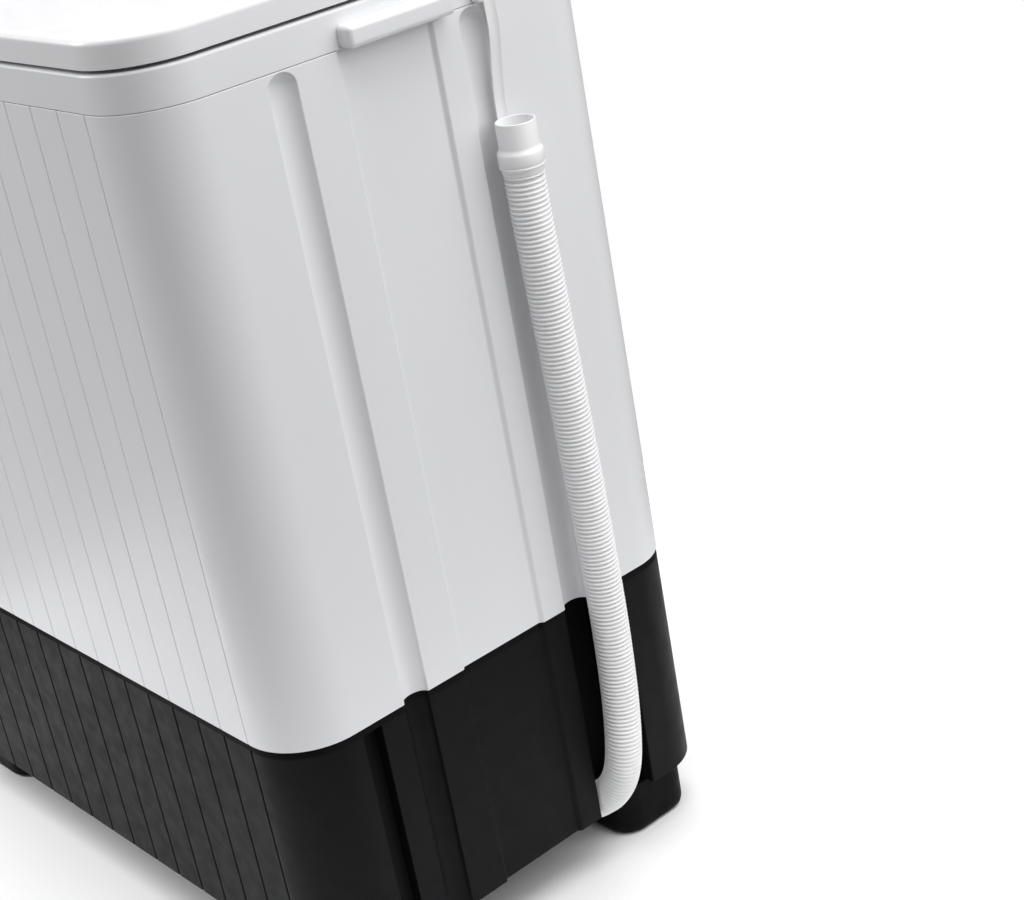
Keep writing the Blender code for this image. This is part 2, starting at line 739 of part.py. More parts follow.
def make_timers():
    """Clockwork timers and the two selector switches behind the knobs."""
    for knob, name in zip(KNOBS, ("wash_timer", "wash_mode_switch", "drain_selector", "spin_timer")):
        half = (0.022, 0.018) if "timer" in name else (0.014, 0.014)
        timer = box(name, (-half[0], -half[1], 0.0), (half[0], half[1], 0.022), GREY)
        timer.matrix_world = slope_matrix(knob[1], KNOB_ALONG, -0.0083 - 0.011)
        bevel(timer, 0.0015, 1)


def make_inlet():
    """Water inlet socket on top of the console."""
    top = SLOPE_HIGH[1] + 0.0035
    profile = (
        (0.0100, top + 0.0120), (0.0130, top + 0.0120), (0.0130, top + 0.0040), (0.0185, top + 0.0030),
        (0.0185, top + GAP), (0.0140, top + GAP), (0.0140, top - 0.0300), (0.0100, top - 0.0300),
    )
    turned("water_inlet", profile, (*INLET_XY, 0.0), GREY, 16)


# ---------------------------------------------------------------- wash side
def wash_ring(grow, z, radius=0.055):
    half_x, half_y = WASH_HALF[0] + grow, WASH_HALF[1] + grow
    outline = rounded_outline(
        WASH_X - half_x, WASH_X + half_x, TUB_Y - half_y, TUB_Y + half_y, (radius,) * 4, 5
    )
    return at_height(outline, z)


def make_wash_tub():
    """Deep tub with a rounded floor, a rim under the deck and a bore for the shaft."""
    rings = [
        wash_ring(-0.040, WASH_BOTTOM_Z, 0.050),
        wash_ring(-0.022, WASH_BOTTOM_Z + 0.006, 0.055),
        wash_ring(-0.012, WASH_BOTTOM_Z + 0.022, 0.058),
        wash_ring(-0.002, WASH_RIM_Z - 0.006, 0.060),
        wash_ring(0.012, WASH_RIM_Z, 0.070),
    ]
    tub = loft("wash_tub", rings, TUB_PLASTIC, close_bottom=True)
    smooth(tub)
    solidify(tub, WALL, 1.0)
    bore = cylinder("wash_bore", 0.0095, 0.05, (WASH_X, TUB_Y, WASH_BOTTOM_Z), None, 24)
    boolean(tub, bore)
    return tub


def make_pulsator():
    """Ribbed disc that stirs the wash."""
    z = WASH_BOTTOM_Z + 0.012
    profile = (
        (0.0, z + 0.034), (0.020, z + 0.033), (0.030, z + 0.020), (0.060, z + 0.010), (0.105, z + 0.007),
        (0.123, z + 0.012), (PULSATOR_RADIUS, z + 0.009), (0.124, z - 0.002), (0.0, z - 0.002),
    )
    pulsator = turned("pulsator", profile, (WASH_X, TUB_Y, 0.0), WHITE, 28)
    for index in range(4):
        rib = box(f"pulsator_rib_{index}", (-0.045, -0.006, 0.0), (0.045, 0.006, 0.024))
        angle = math.radians(45 + 90 * index)
        place = Matrix.Translation((WASH_X, TUB_Y, z + 0.014)) @ Matrix.Rotation(angle, 4, "Z")
        rib.matrix_world = place @ Matrix.Translation((0.066, 0, 0))
        bevel(rib, 0.004, 1)
        boolean(pulsator, rib, "UNION")
    bore = cylinder("pulsator_bore", SHAFT_RADIUS + GAP, 0.024, (WASH_X, TUB_Y, z + 0.008), None, 20)
    boolean(pulsator, bore)
    return pulsator


def make_wash_drive():
    """Shaft, bearing housing, pulleys, belt and motor under the wash tub."""
    centre = (WASH_X, TUB_Y, 0.0)
    motor = (WASH_MOTOR_X, TUB_Y, 0.0)
    top = WASH_BOTTOM_Z + 0.0315
    foot = PULLEY_Z - 0.010
    cylinder("pulsator_shaft", SHAFT_RADIUS, top - foot, (WASH_X, TUB_Y, (top + foot) / 2), STEEL, 20)
    low = WASH_BOTTOM_Z - WALL - GAP
    turned("pulsator_bearing", (
        (SHAFT_RADIUS + GAP, low), (0.050, low), (0.050, low - 0.006), (0.024, low - 0.012),
        (0.022, PULLEY_Z + 0.030), (SHAFT_RADIUS + GAP, PULLEY_Z + 0.030),
    ), centre, GREY, 18)
    big = pulley_profile(WASH_PULLEY_RADIUS, SHAFT_RADIUS + GAP, 0.016)
    small = pulley_profile(MOTOR_PULLEY_RADIUS, 0.0053, 0.010)
    turned("wash_pulley", big, centre, ALUMINIUM, 28)
    turned("motor_pulley", small, motor, STEEL, 16)
    top, foot = PULLEY_Z + 0.008, MOTOR_TOP_Z - 0.010
    cylinder("wash_motor_shaft", 0.005, top - foot, (WASH_MOTOR_X, TUB_Y, (top + foot) / 2), STEEL, 16)
    low, top = FLOOR_PLATE_Z[1] + GAP, MOTOR_TOP_Z
    outer, inner = 0.062, 0.062 - CAN_WALL
    turned("wash_motor", (
        (0.0, top - 0.0103), (0.0053, top - 0.0103), (0.0053, top), (0.018, top), (0.020, top - 0.012),
        (outer - 0.004, top - 0.018), (outer, top - 0.030), (outer, low + 0.020),
        (outer + 0.004, low + 0.006),
        (outer + 0.004, low), (0.012, low), (0.012, low + CAN_WALL), (inner, low + CAN_WALL),
        (inner, top - 0.028), (0.0, top - 0.024),
    ), motor, PAINTED, 20)
    make_belt()


def pulley_profile(radius, bore, hub):
    half = BELT_HEIGHT / 2 + 0.001
    return (
        (bore, PULLEY_Z + 0.010), (hub, PULLEY_Z + 0.010), (hub, PULLEY_Z + half), (radius, PULLEY_Z + half),
        (radius, PULLEY_Z - half), (hub, PULLEY_Z - half), (hub, PULLEY_Z - 0.008), (bore, PULLEY_Z - 0.008),
    )


def belt_outline(clear):
    """Outline of a belt that clears both pulleys by the given distance."""
    big, small = WASH_PULLEY_RADIUS + clear, MOTOR_PULLEY_RADIUS + clear
    tilt = math.degrees(math.asin((big - small) / (WASH_X - WASH_MOTOR_X)))
    reach = 90 + tilt
    points = arc((WASH_X, TUB_Y), big, -reach, reach, 18)
    points += arc((WASH_MOTOR_X, TUB_Y), small, reach, 360 - reach, 5)
    return points


def make_belt():
    outline = belt_outline(4 * GAP)
    rings = [at_height(outline, PULLEY_Z - BELT_HEIGHT / 2), at_height(outline, PULLEY_Z + BELT_HEIGHT / 2)]
    belt = loft("drive_belt", rings, RUBBER)
    smooth(belt)
    solidify(belt, 0.003, 1.0)


def make_lint_filter():
    """Lint filter frame that lifts out of its slot at the back of the wash tub."""
    low, high = 0.640, 0.780
    front, back = FILTER_Y - 0.010, FILTER_Y
    lint = box("lint_filter", (FILTER_X - 0.035, front, low), (FILTER_X + 0.035, back, high), GREY)
    bevel(lint, 0.003, 2)
    window = box("lint_filter_window", (FILTER_X - 0.026, FILTER_Y - 0.03, low + 0.012),
                 (FILTER_X + 0.026, FILTER_Y - 0.003, high - 0.020))
    boolean(lint, window)
    return lint


# ---------------------------------------------------------------- spin side
def make_spin_outer_tub():
    """Fixed tub around the spin basket."""
    count = 28
    rings = [
        circle(0.034, SPIN_BOTTOM_Z - 0.006, count), circle(0.110, SPIN_BOTTOM_Z, count),
        circle(OUTER_TUB_RADIUS - 0.006, SPIN_BOTTOM_Z + 0.010, count),
        circle(OUTER_TUB_RADIUS, SPIN_BOTTOM_Z + 0.030, count),
        circle(OUTER_TUB_RADIUS, WASH_RIM_Z - 0.004, count),
        circle(OUTER_TUB_RADIUS + 0.006, WASH_RIM_Z, count),
    ]
    tub = loft("spin_outer_tub", rings, TUB_PLASTIC)
    tub.location = (SPIN_X, TUB_Y, 0.0)
    smooth(tub)
    solidify(tub, WALL, 1.0)
    return tub


def make_spin_basket():
    """Perforated basket that spins the wash dry."""
    hole = math.radians(6.0)
    angles = []
    for i in range(HOLE_COLUMNS):
        middle = 2 * math.pi * i / HOLE_COLUMNS
        angles += [middle - hole / 2, middle + hole / 2]
    levels = [(BASKET_LOW_Z, 0.030), (BASKET_LOW_Z + 0.001, BASKET_RADIUS - 0.012)]
    levels.append((BASKET_LOW_Z + 0.016, BASKET_RADIUS))
    rows_of_holes = (0.52, 0.66, 0.80)
    for z in rows_of_holes:
        levels += [(z, BASKET_RADIUS), (z + 0.010, BASKET_RADIUS)]
    levels += [(BASKET_HIGH_Z - 0.012, BASKET_RADIUS), (BASKET_HIGH_Z, BASKET_RADIUS - 0.010)]
    rings = []
    for z, radius in levels:
        rings.append([(radius * math.cos(a), radius * math.sin(a), z) for a in angles])
    hole_rows = [3 + 2 * row for row in range(len(rows_of_holes))]
    holes = {(row, 2 * column) for row in hole_rows for column in range(HOLE_COLUMNS)}
    basket = loft("spin_basket", rings, STEEL, close_bottom=True, skip=holes)
    basket.location = (SPIN_X, TUB_Y, 0.0)
    smooth(basket)
    solidify(basket, 0.0018)
    bore = cylinder("basket_bore", 0.0073, 0.03, (SPIN_X, TUB_Y, BASKET_LOW_Z), None, 12)
    boolean(basket, bore)
    return basket


def make_spin_drive():
    """Shaft, seal, brake drum, motor and its rubber-footed springs under the spin tub."""
    centre = (SPIN_X, TUB_Y, 0.0)
    top, foot = BASKET_LOW_Z + 0.030, 0.224
    cylinder("spin_shaft", 0.007, top - foot, (SPIN_X, TUB_Y, (top + foot) / 2), STEEL, 20)
    base = BASKET_LOW_Z + 0.0018 + GAP
    turned("basket_hub", (
        (0.0, base + 0.034), (0.012, base + 0.032), (0.030, base + 0.010), (0.045, base + 0.004),
        (0.045, base), (0.0073, base), (0.0073, base + 0.0282), (0.0, base + 0.0282),
    ), centre, GREY, 18)
    seal = SPIN_BOTTOM_Z - 0.006
    turned("shaft_seal", (
        (0.0076, seal + 0.006), (0.0150, seal + 0.006), (0.0335, seal - WALL), (0.0335, seal - WALL - 0.003),
        (0.0180, seal - 0.012), (0.0240, seal - 0.020), (0.0180, seal - 0.028), (0.0220, seal - 0.036),
        (0.0076, seal - 0.036),
    ), centre, RUBBER, 16)
    turned("brake_drum", (
        (0.0073, 0.262), (0.016, 0.262), (0.018, 0.256), (0.048, 0.256), (0.048, 0.236), (0.018, 0.236),
        (0.016, 0.230), (0.0073, 0.230),
    ), centre, PAINTED, 24)
    low = FLOOR_PLATE_Z[1] + SPRING_HEIGHT + 2 * GAP
    outer, inner = SPIN_MOTOR_RADIUS, SPIN_MOTOR_RADIUS - CAN_WALL
    turned("spin_motor", (
        (0.0, 0.2237), (0.010, 0.2237), (0.020, 0.214), (outer - 0.004, 0.208), (outer, 0.198),
        (outer, low + 0.020), (outer + 0.010, low + 0.006), (outer + 0.010, low), (0.012, low),
        (0.012, low + CAN_WALL), (inner, low + CAN_WALL), (inner, 0.200), (0.0, 0.206),
    ), centre, PAINTED, 20)
    for index in range(3):
        angle = math.radians(90 + 120 * index)
        place = (SPIN_X + 0.055 * math.cos(angle), TUB_Y + 0.055 * math.sin(angle), 0.0)
        make_spring(f"motor_mount_{index + 1}", place)


def make_spring(name, place):
    """Rubber-sleeved spring under the spin motor: a stack of round waists."""
    low = FLOOR_PLATE_Z[1] + GAP
    top = low + SPRING_HEIGHT - GAP
    turns = 3
    profile = [(0.0, top)]
    for i in range(turns):
        high = top - i * (top - low) / turns
        profile += [(0.0110, high), (0.0110, high - 0.0040), (0.0085, high - 0.0060)]
    profile += [(0.0110, low), (0.0, low)]
    turned(name, profile, place, RUBBER, 10)


def make_brake_lever():
    """Brake lever beside the drum, on its own pivot post."""
    px, py = BRAKE_PIVOT
    post_height = 0.180
    low = FLOOR_PLATE_Z[1] + GAP
    cylinder("brake_pivot_post", 0.0035, post_height, (px, py, low + post_height / 2), STEEL, 16)
    outline = rounded_outline(px - 0.009, px + 0.009, TUB_Y - 0.014, py + 0.009, (0.004,) * 4, 3)
    lever = extruded("brake_lever", outline, 0.240, 0.2485, STEEL)
    hole = cylinder("brake_lever_bore", 0.0039, 0.04, (px, py, 0.245), None, 16)
    boolean(lever, hole)
    move_origin(lever, (px, py, 0.0))


# ---------------------------------------------------------------- drain
def make_drain():
    """Valve box, its plunger, the outlet elbow and the two tub drain pipes."""
    x, y = VALVE_XY
    low = FLOOR_PLATE_Z[1] + GAP
    valve = turned("drain_valve_box", (
        (0.0075, 0.170), (0.016, 0.170), (0.018, 0.150), (0.030, 0.146), (0.030, low), (0.0, low),
        (0.0, low + 0.004), (0.0245, low + 0.004), (0.0245, 0.141), (0.0075, 0.141),
    ), (x, y, 0.0), GREY, 18)
    port = cylinder("valve_outlet_port", 0.0115, 0.02, (x + 0.030, y, 0.0925), None, 20, "X")
    boolean(valve, port)
    turned("drain_valve_plunger", (
        (0.0, 0.225), (0.004, 0.225), (0.004, 0.110), (0.0200, 0.108), (0.0200, 0.100), (0.0, 0.100),
    ), (x, y, 0.0), RUBBER, 14)
    tube("drain_outlet", catmull_rom(OUTLET_ROUTE, 2), 0.0110, BLACK, 2)


def make_hose():
    """Corrugated drain hose with its end cuff, hanging strap and hook."""
    route = catmull_rom(HOSE_ROUTE, 2)
    tube("drain_hose", route, HOSE_RADIUS, HOSE_WHITE, 3)
    turned("hose_end_cuff", (
        (0.0163, 0.0492), (0.0177, 0.0492), (0.0177, 0.0264), (0.0205, 0.0222), (0.0205, 0.0094),
        (0.0185, 0.0080), (0.0185, GAP), (0.0150, GAP), (0.0150, 0.0264),
    ), HOSE_ROUTE[-1], HOSE_WHITE, 18)


def make_strap_and_hook():
    """Flat strap from the hose's mouth up to a hook on the top frame."""
    side = HALF_WIDTH
    route = (
        (side + 0.0012, 0.1107, 0.7520), (side + 0.0014, 0.1108, 0.7780), (side + 0.0018, 0.1110, 0.7930),
        (side + 0.0030, 0.1132, 0.8200), (side + 0.0050, 0.1150, 0.8465), (side + 0.0058, 0.1142, 0.8700),
        (side + 0.0058, 0.1142, 0.8900),
    )
    bm = bmesh.new()
    half = 0.0063
    rows = [[bm.verts.new((px, py + dy, pz)) for dy in (-half, half)] for px, py, pz in route]
    for low_row, high_row in zip(rows, rows[1:]):
        bm.faces.new((low_row[0], low_row[1], high_row[1], high_row[0]))
    strap = add_object("hose_strap", mesh_from(bm, "hose_strap"), HOSE_WHITE)
    solidify(strap, 0.0010)
    hook = box("hose_hook", (side + GAP, 0.0995, 0.8735), (side + 0.0100, 0.1070, 0.8960), WHITE)
    bevel(hook, 0.002, 2)


def make_small_parts():
    """Motor capacitor and the power cord's gland."""
    height = 0.080
    x, y = CAPACITOR_XY
    cylinder("motor_capacitor", 0.018, height, (x, y, FLOOR_PLATE_Z[1] + GAP + height / 2), ALUMINIUM, 24)
    x, z = CORD_INLET
    gland = turned("power_cord_gland", (
        (0.0035, 0.0), (0.0075, 0.0), (0.0075, -0.0030), (0.0110, -0.0032), (0.0110, -0.0080),
        (0.0060, -0.0200), (0.0035, -0.0200),
    ), (x, REAR_Y - 0.0001, z), RUBBER, 12)
    gland.rotation_euler = (math.radians(-90), 0, 0)


def main():
    make_base()
    for side, side_name in ((-1, "left"), (1, "right")):
        for end, end_name in ((-1, "front"), (1, "rear")):
            make_foot(f"{end_name}_{side_name}_foot", side, end)
        make_grip(side, side_name)
    make_cabinet()
    make_back_cover()
    make_cover_screws()
    make_top_frame()
    make_lids()
    make_console()
    make_fascia()
    make_knobs()
    make_timers()
    make_inlet()
    make_wash_tub()
    make_pulsator()
    make_wash_drive()
    make_lint_filter()
    make_spin_outer_tub()
    make_spin_basket()
    make_spin_drive()
    make_brake_lever()
    make_drain()
    make_hose()
    make_strap_and_hook()
    make_small_parts()


main()
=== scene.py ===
"""Twin-tub washing machine: camera, hose, detailed casings, materials and studio light."""
import json
import math

import bmesh
import bpy
from mathutils import Matrix, Vector


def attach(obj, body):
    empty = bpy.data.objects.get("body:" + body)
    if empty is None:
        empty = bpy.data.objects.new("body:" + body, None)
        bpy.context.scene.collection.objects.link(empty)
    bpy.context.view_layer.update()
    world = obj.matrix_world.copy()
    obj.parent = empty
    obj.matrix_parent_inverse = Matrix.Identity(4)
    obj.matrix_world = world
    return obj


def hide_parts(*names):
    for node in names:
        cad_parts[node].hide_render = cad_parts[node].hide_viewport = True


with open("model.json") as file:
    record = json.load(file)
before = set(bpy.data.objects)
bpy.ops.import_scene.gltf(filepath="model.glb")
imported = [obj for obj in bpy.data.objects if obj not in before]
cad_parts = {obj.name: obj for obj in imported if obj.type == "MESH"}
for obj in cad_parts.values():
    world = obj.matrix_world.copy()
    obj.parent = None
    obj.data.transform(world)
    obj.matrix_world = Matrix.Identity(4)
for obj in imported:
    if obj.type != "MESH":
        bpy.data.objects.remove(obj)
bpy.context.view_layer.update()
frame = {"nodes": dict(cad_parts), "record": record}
NODES = frame["nodes"]

# Sizes of the machine, in metres
HALF_WIDTH, FRONT_Y, REAR_Y = 0.400, -0.239, 0.239
FRONT_RADIUS, REAR_RADIUS = 0.066, 0.055
SKIRT_Z, SEAM_Z, TOP_SEAM_Z = 0.058, 0.296, 0.873
DECK_Z, LID_Z = 0.9052, 0.9082
GAP, WALL = 0.0003, 0.0025
CHANNEL_WIDTH, CHANNEL_DEPTH = 0.0275, 0.0095
FRONT_CHANNEL_Y, REAR_CHANNEL_Y = -0.1012, 0.0971
PANEL_FRONT_Y, PANEL_REAR_Y, PANEL_RECESS = (-0.0454, -0.0404), (0.0512, 0.0577), 0.0036
GROOVE_COUNT, GROOVE_PITCH = 16, 0.04383
BODY_GROOVE, BASE_GROOVE = (0.0008, 0.0012), (0.0013, 0.0020)
BASE_INSET, LEDGE_INSET, LEDGE_DROP = 0.0010, 0.0030, 0.0080
SLOT_Y, SLOT_DEPTH = (-0.1640, -0.1430), 0.0140
ALCOVE_Y, ALCOVE_DEPTH = (0.0834, 0.1566), 0.0620
FLOOR_PLATE_Z = (0.0660, 0.0700)
FOOT_X, FOOT_Y, FOOT_HALF, FOOT_RADIUS = 0.341, 0.1685, 0.0465, 0.0260
GRIP_Y, GRIP_TOP_Z, GRIP_REACH = (-0.0406, 0.0705), 0.8925, 0.0170
EAR_PLACES, EAR_HALF, EAR_RADIUS = (-0.340, 0.030, 0.150, 0.340), 0.004, 0.0065
LID_SPLIT_X, LID_GAP, LID_WALL = 0.090, 0.0015, 0.0022
LID_ROUND_Z, LID_ROUND = 0.9262, 0.0064
HINGE_Y, HINGE_Z, NOSE_RADIUS, PIN_RADIUS = 0.107, 0.9206, 0.0124, 0.0025
SLOPE_LOW, SLOPE_HIGH, CONSOLE_FRONT_Y = (0.1215, 0.9275), (0.1600, 0.9800), 0.1215
KNOB_RADIUS, KNOB_HEIGHT, KNOB_ALONG, FASCIA_THICK = 0.0200, 0.0145, 0.0360, 0.0020
KNURL_SHARE, TICK_INNER, TICK_HALF = 0.982, 0.0212, 0.00022
NUMBER_SIZE, NUMBER_RADIUS = 0.0075, 0.0300
KNOBS = {
    "wash_timer_knob": -0.270, "wash_mode_knob": -0.130, "drain_knob": 0.060, "spin_timer_knob": 0.250,
}
INLET_XY = (-0.330, 0.200)
WASH_X, SPIN_X, TUB_Y = -0.150, 0.235, -0.055
WASH_MOUTH_HALF, WASH_MOUTH_RADIUS, SPIN_MOUTH_RADIUS = (0.190, 0.133), 0.046, 0.118
OUTLET_CUT_Y, OUTLET_CUT_TOP = (0.0865, 0.1185), 0.079
BACK_COVER_Z, BACK_COVER_X = (0.380, 0.780), (0.250, -0.250)
HOSE_RADIUS, RIB_PITCH, RIB_DEPTH = 0.01825, 0.0043, 0.0019
# Height of one rib from valley to valley, as shares of its depth
RIB_WAVE = (0.0, 0.10, 0.55, 0.95, 1.0, 0.95, 0.55, 0.10)
PLAIN_LENGTH, PLAIN_SHARE, HOSE_SIDES = 0.004, 0.4, 40
HOSE_ROUTE = (
    (0.3530, 0.1025, 0.0530), (0.3600, 0.1025, 0.0530), (0.3690, 0.1026, 0.0560),
    (0.3810, 0.1031, 0.0645), (0.3950, 0.1040, 0.0765), (0.4080, 0.1055, 0.0945),
    (0.4165, 0.1072, 0.1170), (0.4205, 0.1092, 0.1440), (0.4215, 0.1122, 0.1760),
    (0.4215, 0.1146, 0.2100), (0.4215, 0.1163, 0.2600), (0.4215, 0.1166, 0.3100),
    (0.4215, 0.1155, 0.3850), (0.4215, 0.1136, 0.4700), (0.4215, 0.1112, 0.5500),
    (0.4215, 0.1088, 0.6300), (0.4215, 0.1072, 0.6850), (0.4215, 0.1070, 0.7100),
    (0.4215, 0.1070, 0.7227),
)
STRAP_ROUTE = (
    (0.4012, 0.1107, 0.7520), (0.4014, 0.1108, 0.7780), (0.4018, 0.1110, 0.7930),
    (0.4030, 0.1132, 0.8200), (0.4050, 0.1150, 0.8465), (0.4058, 0.1142, 0.8700),
    (0.4058, 0.1142, 0.8900),
)

# Camera: azimuth, elevation and roll in degrees
CAMERA_TURN, CAMERA_PLACE = (52.788, 23.61, -10.567), (1.7346, -0.9579, 1.2088)
CAMERA_LENS, SENSOR_WIDTH = 71.04, 36.0

# Studio: name, place, target, size and power of each soft box
SOFT_BOXES = (
    ("key_right", (1.9, 0.80, 1.85), (0.4, 0.0, 0.80), (2.5, 2.5), 42.0),
    ("front_left", (-1.7, -2.0, 1.9), (0.0, 0.0, 0.8), (1.0, 1.0), 40.0),
)
SUN_STRENGTH, SUN_ANGLE, FILL_STRENGTH, FLOOR_HALF = 3.0, 64, 0.17, 0.78
PAPER_WHITE = (1.0, 1.0, 1.0, 1.0)


# ---------------------------------------------------------------- materials
class Nodes:
    """Short hands for building one material's node tree."""

    def __init__(self, name):
        self.material = bpy.data.materials.new(name)
        self.material.use_nodes = True
        self.tree = self.material.node_tree
        self.shader = self.tree.nodes["Principled BSDF"]
        self.place = self.add("ShaderNodeTexCoord").outputs["Object"]

    def add(self, kind, **settings):
        node = self.tree.nodes.new(kind)
        for key, value in settings.items():
            setattr(node, key, value)
        return node

    def link(self, source, target):
        self.tree.links.new(source, target)

    def noise(self, scale, detail=3.0, stretch=(1, 1, 1), rough=0.5):
        mapping = self.add("ShaderNodeMapping")
        mapping.inputs["Scale"].default_value = stretch
        self.link(self.place, mapping.inputs["Vector"])
        noise = self.add("ShaderNodeTexNoise")
        noise.inputs["Scale"].default_value = scale
        noise.inputs["Detail"].default_value = detail
        noise.inputs["Roughness"].default_value = rough
        self.link(mapping.outputs["Vector"], noise.inputs["Vector"])
        return noise.outputs["Fac"]

    def spread(self, value, low, high):
        ranged = self.add("ShaderNodeMapRange")
        ranged.inputs["From Min"].default_value = 0.3
        ranged.inputs["From Max"].default_value = 0.7
        ranged.inputs["To Min"].default_value = low
        ranged.inputs["To Max"].default_value = high
        self.link(value, ranged.inputs["Value"])
        return ranged.outputs["Result"]

    def colour(self, value, first, second):
        ramp = self.add("ShaderNodeValToRGB")
        ramp.color_ramp.elements[0].position = 0.35
        ramp.color_ramp.elements[1].position = 0.65
        ramp.color_ramp.elements[0].color = (*first, 1.0)
        ramp.color_ramp.elements[1].color = (*second, 1.0)
        self.link(value, ramp.inputs["Fac"])
        self.link(ramp.outputs["Color"], self.shader.inputs["Base Color"])

    def bump(self, layers):
        """layers are (height, distance in metres, strength), coarse first."""
        below = None
        for height, distance, strength in layers:
            bump = self.add("ShaderNodeBump")
            bump.inputs["Distance"].default_value = distance
            bump.inputs["Strength"].default_value = strength
            self.link(height, bump.inputs["Height"])
            if below:
                self.link(below, bump.inputs["Normal"])
            below = bump.outputs["Normal"]
        self.link(below, self.shader.inputs["Normal"])

    def constant(self, **values):
        for key, value in values.items():
            self.shader.inputs[key.replace("_", " ")].default_value = value


def moulded(
    name, colour, roughness, grain=0.00003, coat=0.0, shift=0.03, scale=1500.0, specular=0.5,
):
    """Moulded plastic: faint flow marks in its colour, varied gloss and a fine spark grain."""
    n = Nodes(name)
    darker = tuple(c * (1 - shift) for c in colour)
    n.colour(n.noise(7.0, 4.0, (1, 1, 0.4)), darker, colour)
    gloss = n.spread(n.noise(60.0, 3.0), roughness * 0.90, roughness * 1.12)
    n.link(gloss, n.shader.inputs["Roughness"])
    n.bump(((n.noise(scale, 2.0), grain, 0.5),))
    n.constant(Coat_Weight=coat, Coat_Roughness=0.22, IOR=1.50, Specular_IOR_Level=specular)
    return n.material


def metal(name, colour, roughness, stretch=(1, 1, 1), scale=300.0, depth=0.00003):
    """Metal with drawn or brushed marks along one axis."""
    n = Nodes(name)
    marks = n.noise(scale, 4.0, stretch, 0.6)
    darker = tuple(c * 0.82 for c in colour)
    n.colour(n.noise(12.0, 4.0), darker, colour)
    n.link(n.spread(marks, roughness * 0.8, roughness * 1.3), n.shader.inputs["Roughness"])
    n.bump(((marks, depth, 0.6),))
    n.constant(Metallic=1.0)
    return n.material


def painted(name, colour, roughness):
    """Stoved paint with a light orange-peel surface."""
    n = Nodes(name)
    n.colour(n.noise(18.0, 4.0), tuple(c * 0.85 for c in colour), colour)
    n.link(n.spread(n.noise(90.0), roughness * 0.85, roughness * 1.15), n.shader.inputs["Roughness"])
    n.bump(((n.noise(350.0, 2.0), 0.00012, 0.35),))
    return n.material


WHITE = moulded("white_casing_plastic", (0.800, 0.802, 0.822), 0.36, 0.00002, 0.15, 0.015)
LID_WHITE = moulded("white_lid_plastic", (0.815, 0.815, 0.830), 0.34, 0.000004, 0.10, 0.008)
BLACK = moulded(
    "black_base_plastic", (0.0040, 0.0040, 0.0046), 0.50, 0.00006, 0.0, 0.04, 1100.0, 0.11,
)
# The feet's black is a darker, less shiny copy of the base's black plastic: painted shade for the feet
# standing under the skirt
SHADED_FOOT_BLACK = moulded(
    "black_foot_plastic_painted_shade", (0.0030, 0.0030, 0.0034), 0.56, 0.00008, 0.0, 0.04, 900.0, 0.08,
)
HOSE_WHITE = moulded("white_hose_plastic", (0.900, 0.900, 0.905), 0.40, 0.00002, 0.10, 0.02)
STRAP_WHITE = moulded("white_strap_plastic", (0.835, 0.835, 0.845), 0.34, 0.00003, 0.0, 0.03)
GREY = moulded("grey_part_plastic", (0.330, 0.340, 0.360), 0.45, 0.00005, 0.0, 0.06)
TUB = moulded("tub_plastic", (0.740, 0.765, 0.790), 0.26, 0.00001, 0.25, 0.03)
GLOSS = moulded("gloss_black_fascia", (0.010, 0.010, 0.012), 0.12, 0.000004, 0.6, 0.10)
KNOB_WHITE = moulded("white_knob_plastic", (0.790, 0.790, 0.805), 0.30, 0.00001, 0.25, 0.02)
RUBBER = moulded("moulded_rubber", (0.022, 0.022, 0.023), 0.75, 0.00010, 0.0, 0.20, 700.0)
PRINT = moulded("white_print", (0.750, 0.750, 0.760), 0.55, 0.00001, 0.0, 0.03)
STEEL = metal("turned_steel", (0.560, 0.570, 0.590), 0.26, (1, 1, 14))
BASKET_STEEL = metal("rolled_basket_steel", (0.610, 0.620, 0.640), 0.24, (10, 10, 0.6), 220.0)
ALLOY = metal("cast_alloy", (0.640, 0.650, 0.665), 0.38, (1, 1, 1), 420.0, 0.00010)
PAINT = painted("black_motor_paint", (0.055, 0.058, 0.065), 0.42)
SLOT_LOOK = {
    "white_plastic": WHITE, "black_plastic": BLACK, "hose_plastic": HOSE_WHITE, "grey_plastic": GREY,
    "tub_plastic": TUB, "panel_gloss": GLOSS, "rubber": RUBBER, "steel": STEEL, "painted_steel": PAINT,
    "aluminium": ALLOY,
}
NODE_LOOK = {"spin_basket": BASKET_STEEL, "wash_lid": LID_WHITE, "spin_lid": LID_WHITE}
for part in frame["record"]["subparts"]:
    look = NODE_LOOK.get(part["node"], SLOT_LOOK[part["material_slot"]])
    node = NODES[part["node"]]
    node.data.materials.clear()
    node.data.materials.append(look)


# ---------------------------------------------------------------- mesh helpers
def add_object(name, bm, material):
    mesh = bpy.data.meshes.new(name)
    bm.to_mesh(mesh)
    bm.free()
    if material:
        mesh.materials.append(material)
    obj = bpy.data.objects.new(name, mesh)
    bpy.context.scene.collection.objects.link(obj)
    return obj


def smooth(obj, angle=32):
    obj.data.shade_smooth()
    obj.data.set_sharp_from_angle(angle=math.radians(angle))
    return obj


def weighted(obj):
    modifier = obj.modifiers.new("normals", "WEIGHTED_NORMAL")
    modifier.keep_sharp = True
    return obj


def loft(name, rings, material, close_top=False, close_bottom=False, skip=(), wrap=False):
    """Skin a stack of closed rings."""
    bm = bmesh.new()
    rows = [[bm.verts.new(point) for point in ring] for ring in rings]
    count = len(rows[0])
    above = rows[1:] + rows[:1] if wrap else rows[1:]
    for row, (low, high) in enumerate(zip(rows, above)):
        for i in range(count):
            j = (i + 1) % count
            if (row, i) not in skip:
                bm.faces.new((low[i], low[j], high[j], high[i]))
    if close_bottom:
        bm.faces.new(list(reversed(rows[0])))
    if close_top:
        bm.faces.new(rows[-1])
    return add_object(name, bm, material)


